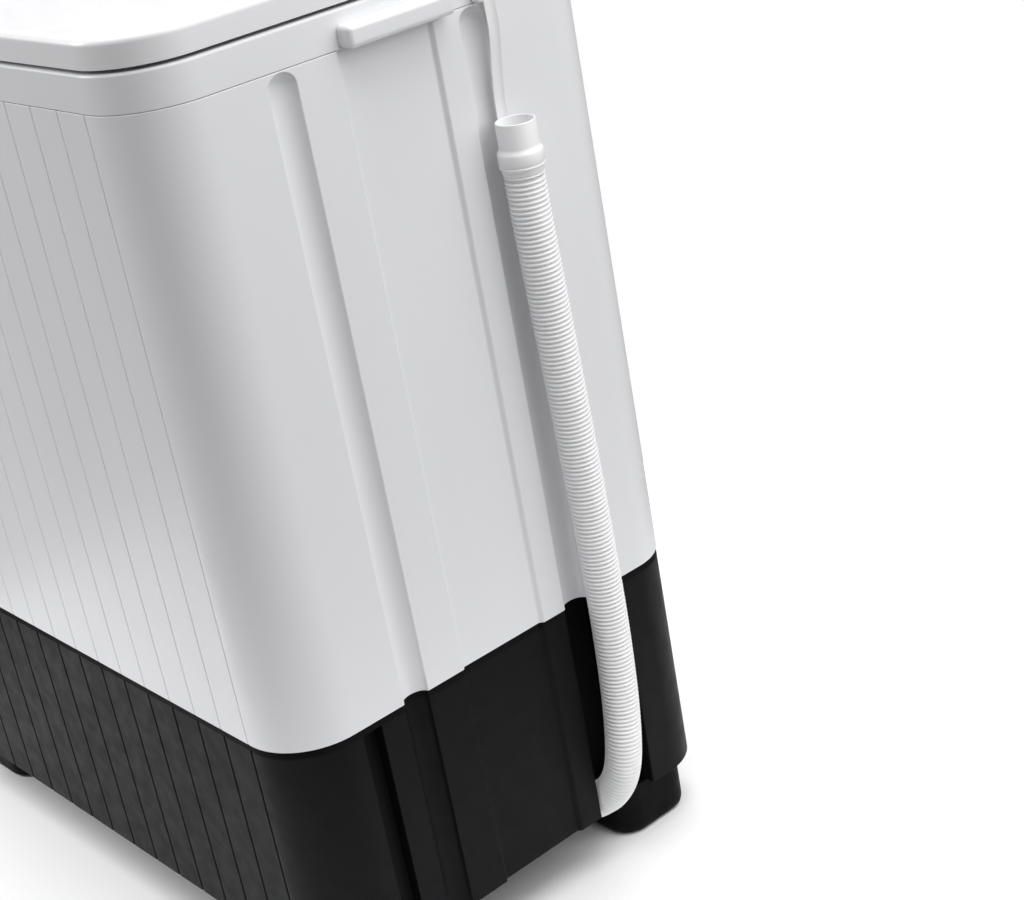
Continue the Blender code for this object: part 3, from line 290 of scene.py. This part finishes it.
def box(name, low, high, material=None):
    low, high = Vector(low), Vector(high)
    bm = bmesh.new()
    bmesh.ops.create_cube(bm, size=1.0)
    bmesh.ops.scale(bm, vec=high - low, verts=bm.verts)
    obj = add_object(name, bm, material)
    obj.location = (low + high) / 2
    return obj


def cylinder(name, radius, height, location, segments=64, axis="Z"):
    bm = bmesh.new()
    bmesh.ops.create_cone(
        bm, cap_ends=True, segments=segments, radius1=radius, radius2=radius, depth=height,
    )
    obj = add_object(name, bm, None)
    obj.location = location
    if axis == "X":
        obj.rotation_euler = (0, math.radians(90), 0)
    return obj


def turned(name, profile, location, material, steps=64):
    """Turn (radius, height) points, top to bottom down the outer side."""
    bm = bmesh.new()
    rings = []
    for radius, height in profile:
        if radius == 0.0:
            rings.append([bm.verts.new((0.0, 0.0, height))] * steps)
            continue
        angles = [2 * math.pi * i / steps for i in range(steps)]
        points = [(radius * math.cos(a), radius * math.sin(a), height) for a in angles]
        rings.append([bm.verts.new(point) for point in points])
    pairs = list(zip(rings, rings[1:]))
    if profile[0][0] > 0.0:
        pairs.append((rings[-1], rings[0]))
    for upper, lower in pairs:
        for i in range(steps):
            j = (i + 1) % steps
            corners = list(dict.fromkeys((upper[i], lower[i], lower[j], upper[j])))
            if len(corners) > 2:
                bm.faces.new(corners)
    obj = add_object(name, bm, material)
    obj.location = location
    return smooth(obj, 40)


def bevel(obj, width, segments=3, angle=40):
    modifier = obj.modifiers.new("edges", "BEVEL")
    modifier.width = width
    modifier.segments = segments
    modifier.limit_method = "ANGLE"
    modifier.angle_limit = math.radians(angle)
    return obj


def boolean(obj, other, operation="DIFFERENCE"):
    modifier = obj.modifiers.new(other.name, "BOOLEAN")
    modifier.operation = operation
    modifier.object = other
    other.hide_render = True


def solidify(obj, thickness, offset=-1.0):
    modifier = obj.modifiers.new("wall", "SOLIDIFY")
    modifier.thickness = thickness
    modifier.offset = offset
    modifier.use_even_offset = True


def freeze(obj, guides=()):
    """Apply obj's modifiers and remove its guide objects."""
    graph = bpy.context.evaluated_depsgraph_get()
    mesh = bpy.data.meshes.new_from_object(obj.evaluated_get(graph))
    obj.modifiers.clear()
    old, obj.data = obj.data, mesh
    bpy.data.meshes.remove(old)
    for guide in guides:
        bpy.data.objects.remove(guide)
    return obj


def stands_for(obj, body, slot, *nodes):
    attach(obj, body)
    if nodes:
        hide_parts(*nodes)
    return obj


def arc(centre, radius, start, end, segments):
    angles = [math.radians(start + (end - start) * i / segments) for i in range(segments + 1)]
    return [(centre[0] + radius * math.cos(a), centre[1] + radius * math.sin(a)) for a in angles]


def rounded_outline(x0, x1, y0, y1, radii, segments=16):
    fl, fr, rr, rl = radii
    points = arc((x0 + fl, y0 + fl), fl, 180, 270, segments)
    points += arc((x1 - fr, y0 + fr), fr, 270, 360, segments)
    points += arc((x1 - rr, y1 - rr), rr, 0, 90, segments)
    points += arc((x0 + rl, y1 - rl), rl, 90, 180, segments)
    return points


def at_height(outline, z):
    return [(x, y, z) for x, y in outline]


def catmull_rom(points, per_span):
    points = [Vector(p) for p in points]
    ends = [2 * points[0] - points[1]] + points + [2 * points[-1] - points[-2]]
    curve = []
    for p0, p1, p2, p3 in zip(ends, ends[1:], ends[2:], ends[3:]):
        for step in range(per_span):
            t = step / per_span
            curve.append(
                0.5 * (2 * p1 + (p2 - p0) * t + (2 * p0 - 5 * p1 + 4 * p2 - p3) * t * t
                       + (3 * p1 - p0 - 3 * p2 + p3) * t ** 3)
            )
    return curve + [points[-1]]


# ---------------------------------------------------------------- camera
def make_camera():
    azimuth, elevation, roll = (math.radians(degrees) for degrees in CAMERA_TURN)
    forward = Vector((
        -math.sin(azimuth) * math.cos(elevation),
        math.cos(azimuth) * math.cos(elevation),
        -math.sin(elevation),
    ))
    right = Vector((math.cos(azimuth), math.sin(azimuth), 0.0))
    up = right.cross(forward)
    side = right * math.cos(roll) + up * math.sin(roll)
    top = -right * math.sin(roll) + up * math.cos(roll)
    data = bpy.data.cameras.new("camera")
    data.lens = CAMERA_LENS
    data.sensor_width = SENSOR_WIDTH
    camera = bpy.data.objects.new("camera", data)
    bpy.context.scene.collection.objects.link(camera)
    turn = Matrix((side, top, -forward)).transposed().to_4x4()
    camera.matrix_world = Matrix.Translation(CAMERA_PLACE) @ turn
    bpy.context.scene.camera = camera


# ---------------------------------------------------------------- hose
def even_steps(points, step):
    """Points a fixed distance apart along a path."""
    placed, carried = [points[0]], 0.0
    for start, end in zip(points, points[1:]):
        length = (end - start).length
        while carried + length >= step:
            share = (step - carried) / length
            start = start.lerp(end, share)
            placed.append(start)
            length = (end - start).length
            carried = 0.0
        carried += length
    return placed


def make_hose():
    """Corrugated tube: rounded ribs at an even pitch, plain for a few millimetres at the outlet."""
    path = catmull_rom(HOSE_ROUTE, 40)
    per_rib = len(RIB_WAVE)
    centres = even_steps(path, RIB_PITCH / per_rib)
    bm = bmesh.new()
    rows = []
    side = Vector((0.0, 1.0, 0.0))
    for index, centre in enumerate(centres):
        before = centres[max(0, index - 1)]
        after = centres[min(len(centres) - 1, index + 1)]
        along = (after - before).normalized()
        side = (side - along * side.dot(along)).normalized()
        across = along.cross(side)
        travelled = index * RIB_PITCH / per_rib
        wave = PLAIN_SHARE if travelled < PLAIN_LENGTH else RIB_WAVE[index % per_rib]
        radius = HOSE_RADIUS - RIB_DEPTH * (1 - wave)
        row = []
        for i in range(HOSE_SIDES):
            angle = 2 * math.pi * i / HOSE_SIDES
            out = side * math.cos(angle) + across * math.sin(angle)
            row.append(bm.verts.new(centre + out * radius))
        rows.append(row)
    for low, high in zip(rows, rows[1:]):
        for i in range(HOSE_SIDES):
            j = (i + 1) % HOSE_SIDES
            bm.faces.new((low[i], low[j], high[j], high[i]))
    bm.faces.new(list(reversed(rows[0])))
    bm.faces.new(rows[-1])
    bmesh.ops.recalc_face_normals(bm, faces=bm.faces)
    hose = add_object("corrugated_hose", bm, HOSE_WHITE)
    smooth(hose, 60)
    stands_for(hose, "casing", "hose_plastic", "drain_hose")
    return hose, path


def make_cuff():
    """Stepped end cuff with a bevelled mouth and raised bands."""
    x, y, z = HOSE_ROUTE[-1]
    outer = [
        (0.0164, 0.0489), (0.0171, 0.0492), (0.0176, 0.0489), (0.0178, 0.0481), (0.0179, 0.0272),
        (0.0181, 0.0260), (0.0192, 0.0240), (0.0201, 0.0228), (0.0205, 0.0216), (0.0205, 0.0124),
        (0.0203, 0.0118), (0.0200, 0.0116), (0.0200, 0.0108), (0.0204, 0.0104), (0.0205, 0.0098),
        (0.0203, 0.0090), (0.0194, 0.0084), (0.0188, 0.0078), (0.0186, 0.0050), (0.0183, 0.0036),
        (0.0175, 0.0030), (0.0175, 0.0020), (0.0182, 0.0013), (0.0180, 0.0004),
        (0.0150, 0.0003), (0.0150, 0.0264), (0.0162, 0.0280),
    ]
    cuff = turned("hose_cuff", outer, (x, y, z), HOSE_WHITE, 72)
    return stands_for(cuff, "casing", "hose_plastic", "hose_end_cuff")


def make_strap():
    """Hanging strap: a thin band with raised edges that curves a little on its way up."""
    route = catmull_rom(STRAP_ROUTE, 10)
    section = (
        (-0.0063, 0.0), (-0.0061, 0.0009), (-0.0053, 0.0009), (-0.0049, 0.0005), (0.0049, 0.0005),
        (0.0053, 0.0009), (0.0061, 0.0009), (0.0063, 0.0), (0.0063, -0.0004), (-0.0063, -0.0004),
    )
    rings = [[(p.x - 0.0004 + out, p.y + dy, p.z) for dy, out in section] for p in route]
    strap = loft("strap_band", rings, STRAP_WHITE, True, True)
    smooth(strap, 50)
    stands_for(strap, "casing", "hose_plastic", "hose_strap")


# ---------------------------------------------------------------- casing outlines
def channel(middle, k, depth=CHANNEL_DEPTH, widen=0.0):
    """(y, inset) points across a half-round channel with rounded lips; k scales it to its end."""
    half = CHANNEL_WIDTH / 2 * k + widen
    lip = 0.0010 * k
    depth = depth * k
    left = []
    for t in (0.0, 30.0, 60.0, 90.0):
        angle = math.radians(t)
        left.append((-half - lip + lip * math.sin(angle), lip - lip * math.cos(angle)))
    start = math.sqrt(max(0.0, 1.0 - (lip / depth) ** 2)) if depth > 0.0 else 1.0
    floor = []
    for i in range(1, 20):
        u = -start * math.cos(math.pi * i / 20)
        floor.append((u * half, depth * math.sqrt(1.0 - u * u)))
    right = [(-y, inset) for y, inset in reversed(left)]
    return [(middle + y, inset) for y, inset in left + floor + right]


def notch(span, depth, radius=0.0012):
    """(y, inset) points around a square notch with rounded lips and corners."""
    y0, y1 = span
    r = min(radius, depth / 2) if depth > 0.0 else 0.0
    left = []
    for t in (0.0, 30.0, 60.0, 90.0):
        angle = math.radians(t)
        left.append((y0 - r + r * math.sin(angle), r - r * math.cos(angle)))
    for t in (0.0, 45.0, 90.0):
        angle = math.radians(t)
        left.append((y0 + r - r * math.cos(angle), depth - r + r * math.sin(angle)))
    return left + [(y0 + y1 - y, inset) for y, inset in reversed(left)]


def step(span, low, high):
    """(y, inset) points down or up a soft step."""
    points = []
    for t in (0.0, 0.12, 0.24, 0.36, 0.5, 0.64, 0.76, 0.88, 1.0):
        inner = min(1.0, max(0.0, (t - 0.12) / 0.76))
        ease = inner * inner * (3 - 2 * inner)
        points.append((span[0] + (span[1] - span[0]) * t, low + (high - low) * ease))
    return points


def side_points(k=1.0, slot=None, alcove=False, widen=0.0):
    points = []
    if slot is not None:
        points += notch((SLOT_Y[0] - widen, SLOT_Y[1] + widen), slot, 0.0008)
    points += channel(FRONT_CHANNEL_Y, k, widen=widen)
    points += step(PANEL_FRONT_Y, 0.0, PANEL_RECESS)
    points += step(PANEL_REAR_Y, PANEL_RECESS, 0.0)
    if alcove:
        points += notch((ALCOVE_Y[0] - widen, ALCOVE_Y[1] + widen), ALCOVE_DEPTH, 0.0016)
    else:
        points += channel(REAR_CHANNEL_Y, k, widen=widen)
    return points


def front_points(half, depth):
    """(x, inset) points across the upright grooves of the front."""
    profile = (
        (-1.5, 0.0), (-1.05, 0.12), (-0.5, 0.92), (0.0, 1.0), (0.5, 0.92), (1.05, 0.12), (1.5, 0.0),
    )
    points = []
    for i in range(GROOVE_COUNT):
        x = (i - (GROOVE_COUNT - 1) / 2) * GROOVE_PITCH
        for share, level in profile:
            points.append((x + share * half, level * depth))
    return points


def casing_outline(inset=0.0, groove=None, right=(), left=(), rear=()):
    x, front, back = HALF_WIDTH - inset, FRONT_Y + inset, REAR_Y - inset
    front_r, rear_r = FRONT_RADIUS - inset, REAR_RADIUS - inset
    points = [(px, front + depth) for px, depth in front_points(*groove)] if groove else []
    points += arc((x - front_r, front + front_r), front_r, 270, 360, 24)
    points += [(x - depth, y) for y, depth in right]
    points += arc((x - rear_r, back - rear_r), rear_r, 0, 90, 20)
    points += [(px, back) for px in rear]
    points += arc((-x + rear_r, back - rear_r), rear_r, 90, 180, 20)
    points += [(-x + depth, y) for y, depth in reversed(left)]
    points += arc((-x + front_r, front + front_r), front_r, 180, 270, 24)
    return points


# ---------------------------------------------------------------- casings
def make_cabinet():
    """Body shell with rounded channel ends, soft panel steps and a lightly rounded lower edge."""
    top = TOP_SEAM_Z - GAP
    end = CHANNEL_WIDTH / 2
    levels = [(SEAM_Z, 0.0006, 1.0), (SEAM_Z + 0.0002, 0.0002, 1.0), (SEAM_Z + 0.0008, 0.0, 1.0)]
    levels += [(BACK_COVER_Z[0], 0.0, 1.0), (BACK_COVER_Z[1], 0.0, 1.0)]
    for i in range(13):
        share = math.sin(math.radians(90 * i / 12))
        k = max(0.02, math.sqrt(max(0.0, 1.0 - share * share)))
        levels.append((top - end + (end - 0.0012) * share, 0.0, k))
    levels += [(top - 0.0006, 0.0, 0.02), (top - 0.0002, 0.0002, 0.02), (top, 0.0006, 0.02)]
    rings = []
    for z, inset, k in levels:
        sides = side_points(k)
        rings.append(at_height(casing_outline(inset, BODY_GROOVE, sides, sides, BACK_COVER_X), z))
    column = next(
        i for i, (x, y, _) in enumerate(rings[0]) if abs(x - BACK_COVER_X[0]) < 1e-9 and y > 0.2
    )
    cabinet = loft("cabinet_skin", rings, WHITE, skip={(3, column)})
    smooth(cabinet, 38)
    solidify(cabinet, 0.0018)
    cabinet.modifiers["wall"].use_even_offset = False
    weighted(cabinet)
    stands_for(cabinet, "casing", "white_plastic", "cabinet_shell")


def base_ring(z, inset, groove_depth, slot_depth, widen=0.0):
    right = side_points(1.0, slot_depth, True, widen)
    left = side_points(1.0, slot_depth, False, widen)
    groove = (BASE_GROOVE[0] + widen / 2, groove_depth)
    return at_height(casing_outline(inset, groove, right, left), z)


def make_base():
    """Black skirt with its ledge, grooves, side channels, hose alcove and floor plate."""
    ledge = SEAM_Z - LEDGE_DROP
    inner = BASE_INSET + WALL
    depth = BASE_GROOVE[1]
    rings = [
        base_ring(FLOOR_PLATE_Z[0], inner, depth, SLOT_DEPTH, WALL),
        base_ring(SKIRT_Z, inner, depth, SLOT_DEPTH, WALL),
        base_ring(SKIRT_Z, BASE_INSET + 0.0009, depth, SLOT_DEPTH),
        base_ring(SKIRT_Z + 0.0003, BASE_INSET + 0.0003, depth, SLOT_DEPTH),
        base_ring(SKIRT_Z + 0.0010, BASE_INSET, depth, SLOT_DEPTH),
        base_ring(ledge, BASE_INSET, depth, SLOT_DEPTH),
        base_ring(ledge + 0.0010, BASE_INSET + 0.0002, 0.0, 0.0),
        base_ring(SEAM_Z - GAP, LEDGE_INSET, 0.0, 0.0),
        base_ring(SEAM_Z - GAP, LEDGE_INSET + WALL, 0.0, 0.0, WALL),
        base_ring(ledge + WALL, inner, depth, SLOT_DEPTH, WALL),
        base_ring(FLOOR_PLATE_Z[1], inner, depth, SLOT_DEPTH, WALL),
    ]
    base = loft("base_skirt", rings, BLACK, True, True)
    low = (0.238, OUTLET_CUT_Y[0], SKIRT_Z - 0.01)
    high = (HALF_WIDTH - ALCOVE_DEPTH + 0.004, OUTLET_CUT_Y[1], OUTLET_CUT_TOP)
    cut = box("outlet_cut", low, high)
    boolean(base, cut)
    freeze(base, (cut,))
    smooth(base, 38)
    weighted(base)
    stands_for(base, "casing", "black_plastic", "base_frame")


def make_feet():
    """Block feet with rounded corners and a rounded lower edge."""
    levels = (
        (0.0, 0.0100), (0.0006, 0.0065), (0.0020, 0.0035), (0.0045, 0.0014), (0.0085, 0.0003),
        (0.0120, 0.0), (0.0560, 0.0), (0.0572, 0.0004), (0.0577, 0.0012),
    )
    for side, side_name in ((-1, "left"), (1, "right")):
        for end, end_name in ((-1, "front"), (1, "rear")):
            rings = []
            for z, inset in levels:
                half, radius = FOOT_HALF - inset, FOOT_RADIUS - inset * 0.7
                outline = rounded_outline(-half, half, -half, half, (radius,) * 4, 10)
                rings.append([(x + side * FOOT_X, y + end * FOOT_Y, z) for x, y in outline])
            # The feet take the darker copy of the base's black, which paints shade on them
            foot = loft(f"{end_name}_{side_name}_foot_block", rings, SHADED_FOOT_BLACK, True, True)
            weighted(smooth(foot, 35))
            stands_for(foot, "casing", "black_plastic", f"{end_name}_{side_name}_foot")


def make_grips():
    """Rounded carry grips on the band's sides, hollow underneath for the fingers."""
    for side, side_name in ((-1, "left"), (1, "right")):
        near, far = HALF_WIDTH + GAP, HALF_WIDTH + GRIP_REACH
        bottom = TOP_SEAM_Z + 0.0004
        x0, x1 = sorted((side * (near - 0.010), side * far))
        low, high = (x0, GRIP_Y[0], bottom), (x1, GRIP_Y[1], GRIP_TOP_Z)
        grip = box(f"carry_grip_{side_name}", low, high, WHITE)
        bevel(grip, 0.0048, 6)
        x0, x1 = sorted((side * (near - 0.020), side * near))
        low = (x0, GRIP_Y[0] - 0.01, bottom - 0.01)
        high = (x1, GRIP_Y[1] + 0.01, GRIP_TOP_Z + 0.01)
        back = box(f"grip_back_{side_name}", low, high)
        x0, x1 = sorted((side * (near - 0.015), side * (far - 0.0035)))
        low = (x0, GRIP_Y[0] + 0.006, bottom - 0.008)
        high = (x1, GRIP_Y[1] - 0.006, GRIP_TOP_Z - 0.0045)
        pocket = box(f"grip_pocket_{side_name}", low, high)
        boolean(grip, back)
        boolean(grip, pocket)
        freeze(grip, [back, pocket])
        smooth(grip, 30)
        weighted(grip)
        stands_for(grip, "casing", "white_plastic", f"{side_name}_grip")


def make_top_frame():
    """Band, deck with its two openings and hinge ears."""
    levels = (
        (TOP_SEAM_Z, 0.0004), (TOP_SEAM_Z + 0.0004, 0.0), (DECK_Z - 0.0030, 0.0),
        (DECK_Z - 0.0018, 0.0004), (DECK_Z - 0.0008, 0.0011), (DECK_Z - 0.0002, 0.0020),
        (DECK_Z, 0.0030),
    )
    rings = [at_height(casing_outline(inset), z) for z, inset in levels]
    top = loft("top_moulding", rings, WHITE, close_top=True)
    solidify(top, WALL)
    guides = []
    for index, x in enumerate(EAR_PLACES):
        low = DECK_Z - 0.0015
        outline = arc((HINGE_Y, HINGE_Z), EAR_RADIUS, 0, 180, 20)
        outline += [(HINGE_Y - EAR_RADIUS, low), (HINGE_Y + EAR_RADIUS, low)]
        ends = [[(x + dx, y, z) for y, z in outline] for dx in (-EAR_HALF, EAR_HALF)]
        ear = loft(f"ear_{index}", ends, None, True, True)
        boolean(top, ear, "UNION")
        guides.append(ear)
    bore = cylinder("bore_cut", PIN_RADIUS + 0.0004, 0.9, (0, HINGE_Y, HINGE_Z), 32, "X")
    half_x, half_y = WASH_MOUTH_HALF
    outline = rounded_outline(
        WASH_X - half_x, WASH_X + half_x, TUB_Y - half_y, TUB_Y + half_y, (WASH_MOUTH_RADIUS,) * 4, 16,
    )
    ends = [at_height(outline, DECK_Z - 0.02), at_height(outline, DECK_Z + 0.0005)]
    wash = loft("wash_cut", ends, None, True, True)
    spin = cylinder("spin_cut", SPIN_MOUTH_RADIUS, 0.02, (SPIN_X, TUB_Y, DECK_Z - 0.0095), 96)
    wiring = box("wiring_cut", (-0.30, 0.135, DECK_Z - 0.01), (0.30, 0.215, DECK_Z + 0.0005))
    for cut in (bore, wash, spin, wiring):
        boolean(top, cut)
        guides.append(cut)
    freeze(top, guides)
    smooth(top, 30)
    weighted(top)
    stands_for(top, "casing", "white_plastic", "top_frame")


def lid_ring(x0, x1, radii, z, inset):
    drop = z - HINGE_Z
    rear = HINGE_Y + math.sqrt(max(0.0, NOSE_RADIUS ** 2 - drop ** 2))
    rear = min(rear, HINGE_Y + NOSE_RADIUS - inset)
    fl, fr = radii
    radii = (max(0.002, fl - inset), max(0.002, fr - inset), 0.002, 0.002)
    return at_height(rounded_outline(x0 + inset, x1 - inset, FRONT_Y + inset, rear, radii, 16), z)


def make_lid(name, body, x0, x1, radii):
    """Lid tray with a full round upper edge and slots for its hinge ears."""
    levels = [(LID_Z, 0.0003), (LID_Z + 0.0003, 0.0), (0.9150, 0.0), (HINGE_Z, 0.0), (LID_ROUND_Z, 0.0)]
    for i in range(1, 9):
        angle = math.radians(90 * i / 8)
        rise, inset = LID_ROUND * math.sin(angle), LID_ROUND * (1 - math.cos(angle))
        levels.append((LID_ROUND_Z + rise, inset))
    rings = [lid_ring(x0, x1, radii, z, inset) for z, inset in levels]
    lid = loft(f"{name}_cover", rings, LID_WHITE, close_top=True)
    solidify(lid, LID_WALL)
    guides = []
    for index, x in enumerate(EAR_PLACES):
        if x0 < x < x1:
            low = (x - 0.0055, HINGE_Y - 0.0072, LID_Z - 0.005)
            high = (x + 0.0055, HINGE_Y + 0.02, HINGE_Z + 0.0085)
            slot = box(f"{name}_cut_{index}", low, high)
            boolean(lid, slot)
            guides.append(slot)
    freeze(lid, guides)
    smooth(lid, 30)
    weighted(lid)
    stands_for(lid, body, "white_plastic", name)


# ---------------------------------------------------------------- console
SLOPE = Vector((0.0, SLOPE_HIGH[0] - SLOPE_LOW[0], SLOPE_HIGH[1] - SLOPE_LOW[1]))
SLOPE_UP = SLOPE.normalized()
SLOPE_OUT = Vector((0.0, -SLOPE_UP.z, SLOPE_UP.y))


def slope_matrix(x, along, out):
    turn = Matrix((Vector((1, 0, 0)), SLOPE_UP, SLOPE_OUT)).transposed().to_4x4()
    place = Vector((x, *SLOPE_LOW)) + SLOPE_UP * along + SLOPE_OUT * out
    return Matrix.Translation(place) @ turn


def make_console():
    """Sloping console cover with holes for the knob shafts and the water inlet."""
    levels = (
        (DECK_Z + GAP, CONSOLE_FRONT_Y, 0.0), (0.9268, 0.1215, 0.0), (0.9284, 0.1222, 0.0),
        (0.9784, 0.1588, 0.0), (0.9802, 0.1603, 0.0002), (0.9816, 0.1618, 0.0008),
        (0.9828, 0.1638, 0.0020), (0.9833, 0.1655, 0.0032), (0.9835, 0.1680, 0.0055),
    )
    rings = []
    for z, front, inset in levels:
        x = HALF_WIDTH - inset
        radii = (0.006, 0.006, REAR_RADIUS - inset, REAR_RADIUS - inset)
        rings.append(at_height(rounded_outline(-x, x, front, REAR_Y - inset, radii, 16), z))
    console = loft("console_cover", rings, WHITE, close_top=True)
    solidify(console, WALL)
    guides = []
    for name, x in KNOBS.items():
        hole = cylinder(f"{name}_cut", 0.0042, 0.02, (0, 0, 0), 24)
        hole.matrix_world = slope_matrix(x, KNOB_ALONG, -0.001)
        boolean(console, hole)
        guides.append(hole)
    inlet = cylinder("inlet_cut", 0.0145, 0.02, (*INLET_XY, SLOPE_HIGH[1]), 48)
    boolean(console, inlet)
    guides.append(inlet)
    freeze(console, guides)
    smooth(console, 30)
    weighted(console)
    stands_for(console, "casing", "white_plastic", "console_housing")


def make_knobs():
    """Knobs with a knurled rim, a finger bar and a printed pointer."""
    base = FASCIA_THICK + 2 * GAP
    for name, x in KNOBS.items():
        place = slope_matrix(x, KNOB_ALONG, 0.0)
        profile = [
            (0.0, base + 0.0092), (0.0110, base + 0.0091), (0.0150, base + 0.0084),
            (0.0176, base + 0.0072), (0.0190, base + 0.0056), (0.0194, base + 0.0034),
            (KNOB_RADIUS, base + 0.0026), (KNOB_RADIUS, base + 0.0004), (0.0197, base),
            (0.0034, base), (0.0034, -0.0080), (0.0, -0.0080),
        ]
        knob = turned(f"{name}_cap", profile, (0, 0, 0), KNOB_WHITE, 96)
        for vertex in knob.data.vertices:
            radius = math.hypot(vertex.co.x, vertex.co.y)
            if 0.0174 < radius < 0.01945 and vertex.index % 2:
                vertex.co.x *= KNURL_SHARE
                vertex.co.y *= KNURL_SHARE
        knob.matrix_world = place
        stands_for(knob, name, "white_plastic", name)
        low, high = (-0.0042, -0.0165, base + 0.003), (0.0042, 0.0165, base + KNOB_HEIGHT)
        bar = box(f"{name}_bar", low, high, KNOB_WHITE)
        bar.matrix_world = place @ Matrix.Translation((0, 0, base + (0.003 + KNOB_HEIGHT) / 2))
        bevel(bar, 0.0022, 5)
        smooth(bar, 60)
        stands_for(bar, name, "white_plastic")
        mark = box(f"{name}_pointer", (-0.0007, 0.004, 0.0), (0.0007, 0.0140, 0.0002), BLACK)
        mark.matrix_world = place @ Matrix.Translation((0, 0.009, base + KNOB_HEIGHT + 0.0001))
        stands_for(mark, name, "black_plastic")


def make_dials():
    """Printed tick marks and plain numbers round the knobs."""
    face = FASCIA_THICK + GAP + 0.00005
    dials = {
        "wash_timer_knob": (("0", "5", "10", "15"), (90, -180)),
        "wash_mode_knob": (("1", "2", "3"), (135, 45)),
        "drain_knob": (("0", "1"), (90, 0)),
        "spin_timer_knob": (("0", "2", "4", "5"), (90, -180)),
    }
    for name, (labels, (first, last)) in dials.items():
        place = slope_matrix(KNOBS[name], KNOB_ALONG, face)
        ticks = (len(labels) - 1) * 5
        bm = bmesh.new()
        for i in range(ticks + 1):
            angle = math.radians(first + (last - first) * i / ticks)
            along = Vector((math.cos(angle), math.sin(angle), 0))
            across = Vector((-math.sin(angle), math.cos(angle), 0))
            inner, outer, half = TICK_INNER, 0.0228 if i % 5 else 0.0236, TICK_HALF
            corners = [
                along * inner - across * half, along * outer - across * half,
                along * outer + across * half, along * inner + across * half,
            ]
            bm.faces.new([bm.verts.new(c) for c in corners])
        mark = add_object(f"{name}_ticks", bm, PRINT)
        mark.matrix_world = place
        stands_for(mark, "casing", "panel_gloss")
        for i, label in enumerate(labels):
            angle = math.radians(first + (last - first) * i / (len(labels) - 1))
            if abs(math.sin(angle)) > 0.75:
                continue
            curve = bpy.data.curves.new(f"{name}_number_{label}", "FONT")
            curve.body = label
            curve.size = NUMBER_SIZE
            curve.align_x = "CENTER"
            curve.align_y = "CENTER"
            text = bpy.data.objects.new(curve.name, curve)
            bpy.context.scene.collection.objects.link(text)
            curve.materials.append(PRINT)
            across, up = NUMBER_RADIUS * math.cos(angle), NUMBER_RADIUS * math.sin(angle)
            text.matrix_world = place @ Matrix.Translation((across, up, 0))
            stands_for(text, "casing", "panel_gloss")


# ---------------------------------------------------------------- studio
def make_studio():
    """Pale floor, white surround, two soft boxes and a wide overhead light."""
    bm = bmesh.new()
    bmesh.ops.create_grid(bm, x_segments=1, y_segments=1, size=FLOOR_HALF)
    n = Nodes("studio_floor")
    n.colour(n.noise(1.5), (0.90, 0.90, 0.90), (0.92, 0.92, 0.92))
    n.link(n.spread(n.noise(3.0), 0.60, 0.70), n.shader.inputs["Roughness"])
    n.constant(Specular_IOR_Level=0.0)
    floor = add_object("floor", bm, n.material)
    world = bpy.data.worlds.new("studio")
    world.use_nodes = True
    bpy.context.scene.world = world
    nodes, links = world.node_tree.nodes, world.node_tree.links
    nodes["Background"].inputs["Color"].default_value = PAPER_WHITE
    nodes["Background"].inputs["Strength"].default_value = FILL_STRENGTH
    seen = nodes.new("ShaderNodeBackground")
    seen.inputs["Color"].default_value = PAPER_WHITE
    seen.inputs["Strength"].default_value = 1.0
    path = nodes.new("ShaderNodeLightPath")
    mix = nodes.new("ShaderNodeMixShader")
    links.new(path.outputs["Is Camera Ray"], mix.inputs["Fac"])
    links.new(nodes["Background"].outputs["Background"], mix.inputs[1])
    links.new(seen.outputs["Background"], mix.inputs[2])
    links.new(mix.outputs["Shader"], nodes["World Output"].inputs["Surface"])
    for name, place, target, size, power in SOFT_BOXES:
        light = bpy.data.lights.new(name, "AREA")
        light.shape = "RECTANGLE"
        light.size, light.size_y = size
        light.energy = power
        lamp = bpy.data.objects.new(name, light)
        bpy.context.scene.collection.objects.link(lamp)
        lamp.location = place
        aim = Vector(target) - Vector(place)
        lamp.rotation_euler = aim.to_track_quat("-Z", "Y").to_euler()
    overhead = bpy.data.lights.new("overhead", "SUN")
    overhead.energy = SUN_STRENGTH
    overhead.angle = math.radians(SUN_ANGLE)
    lamp = bpy.data.objects.new("overhead", overhead)
    bpy.context.scene.collection.objects.link(lamp)
    bpy.context.scene.view_settings.view_transform = "Standard"


make_camera()
hose, hose_path = make_hose()
cuff = make_cuff()
make_strap()
make_cabinet()
make_base()
make_feet()
make_top_frame()
make_grips()
make_lid("wash_lid", "wash_lid", -HALF_WIDTH, LID_SPLIT_X - LID_GAP, (FRONT_RADIUS, 0.003))
make_lid("spin_lid", "spin_lid", LID_SPLIT_X + LID_GAP, HALF_WIDTH, (0.003, FRONT_RADIUS))
make_console()
make_knobs()
make_dials()
make_studio()
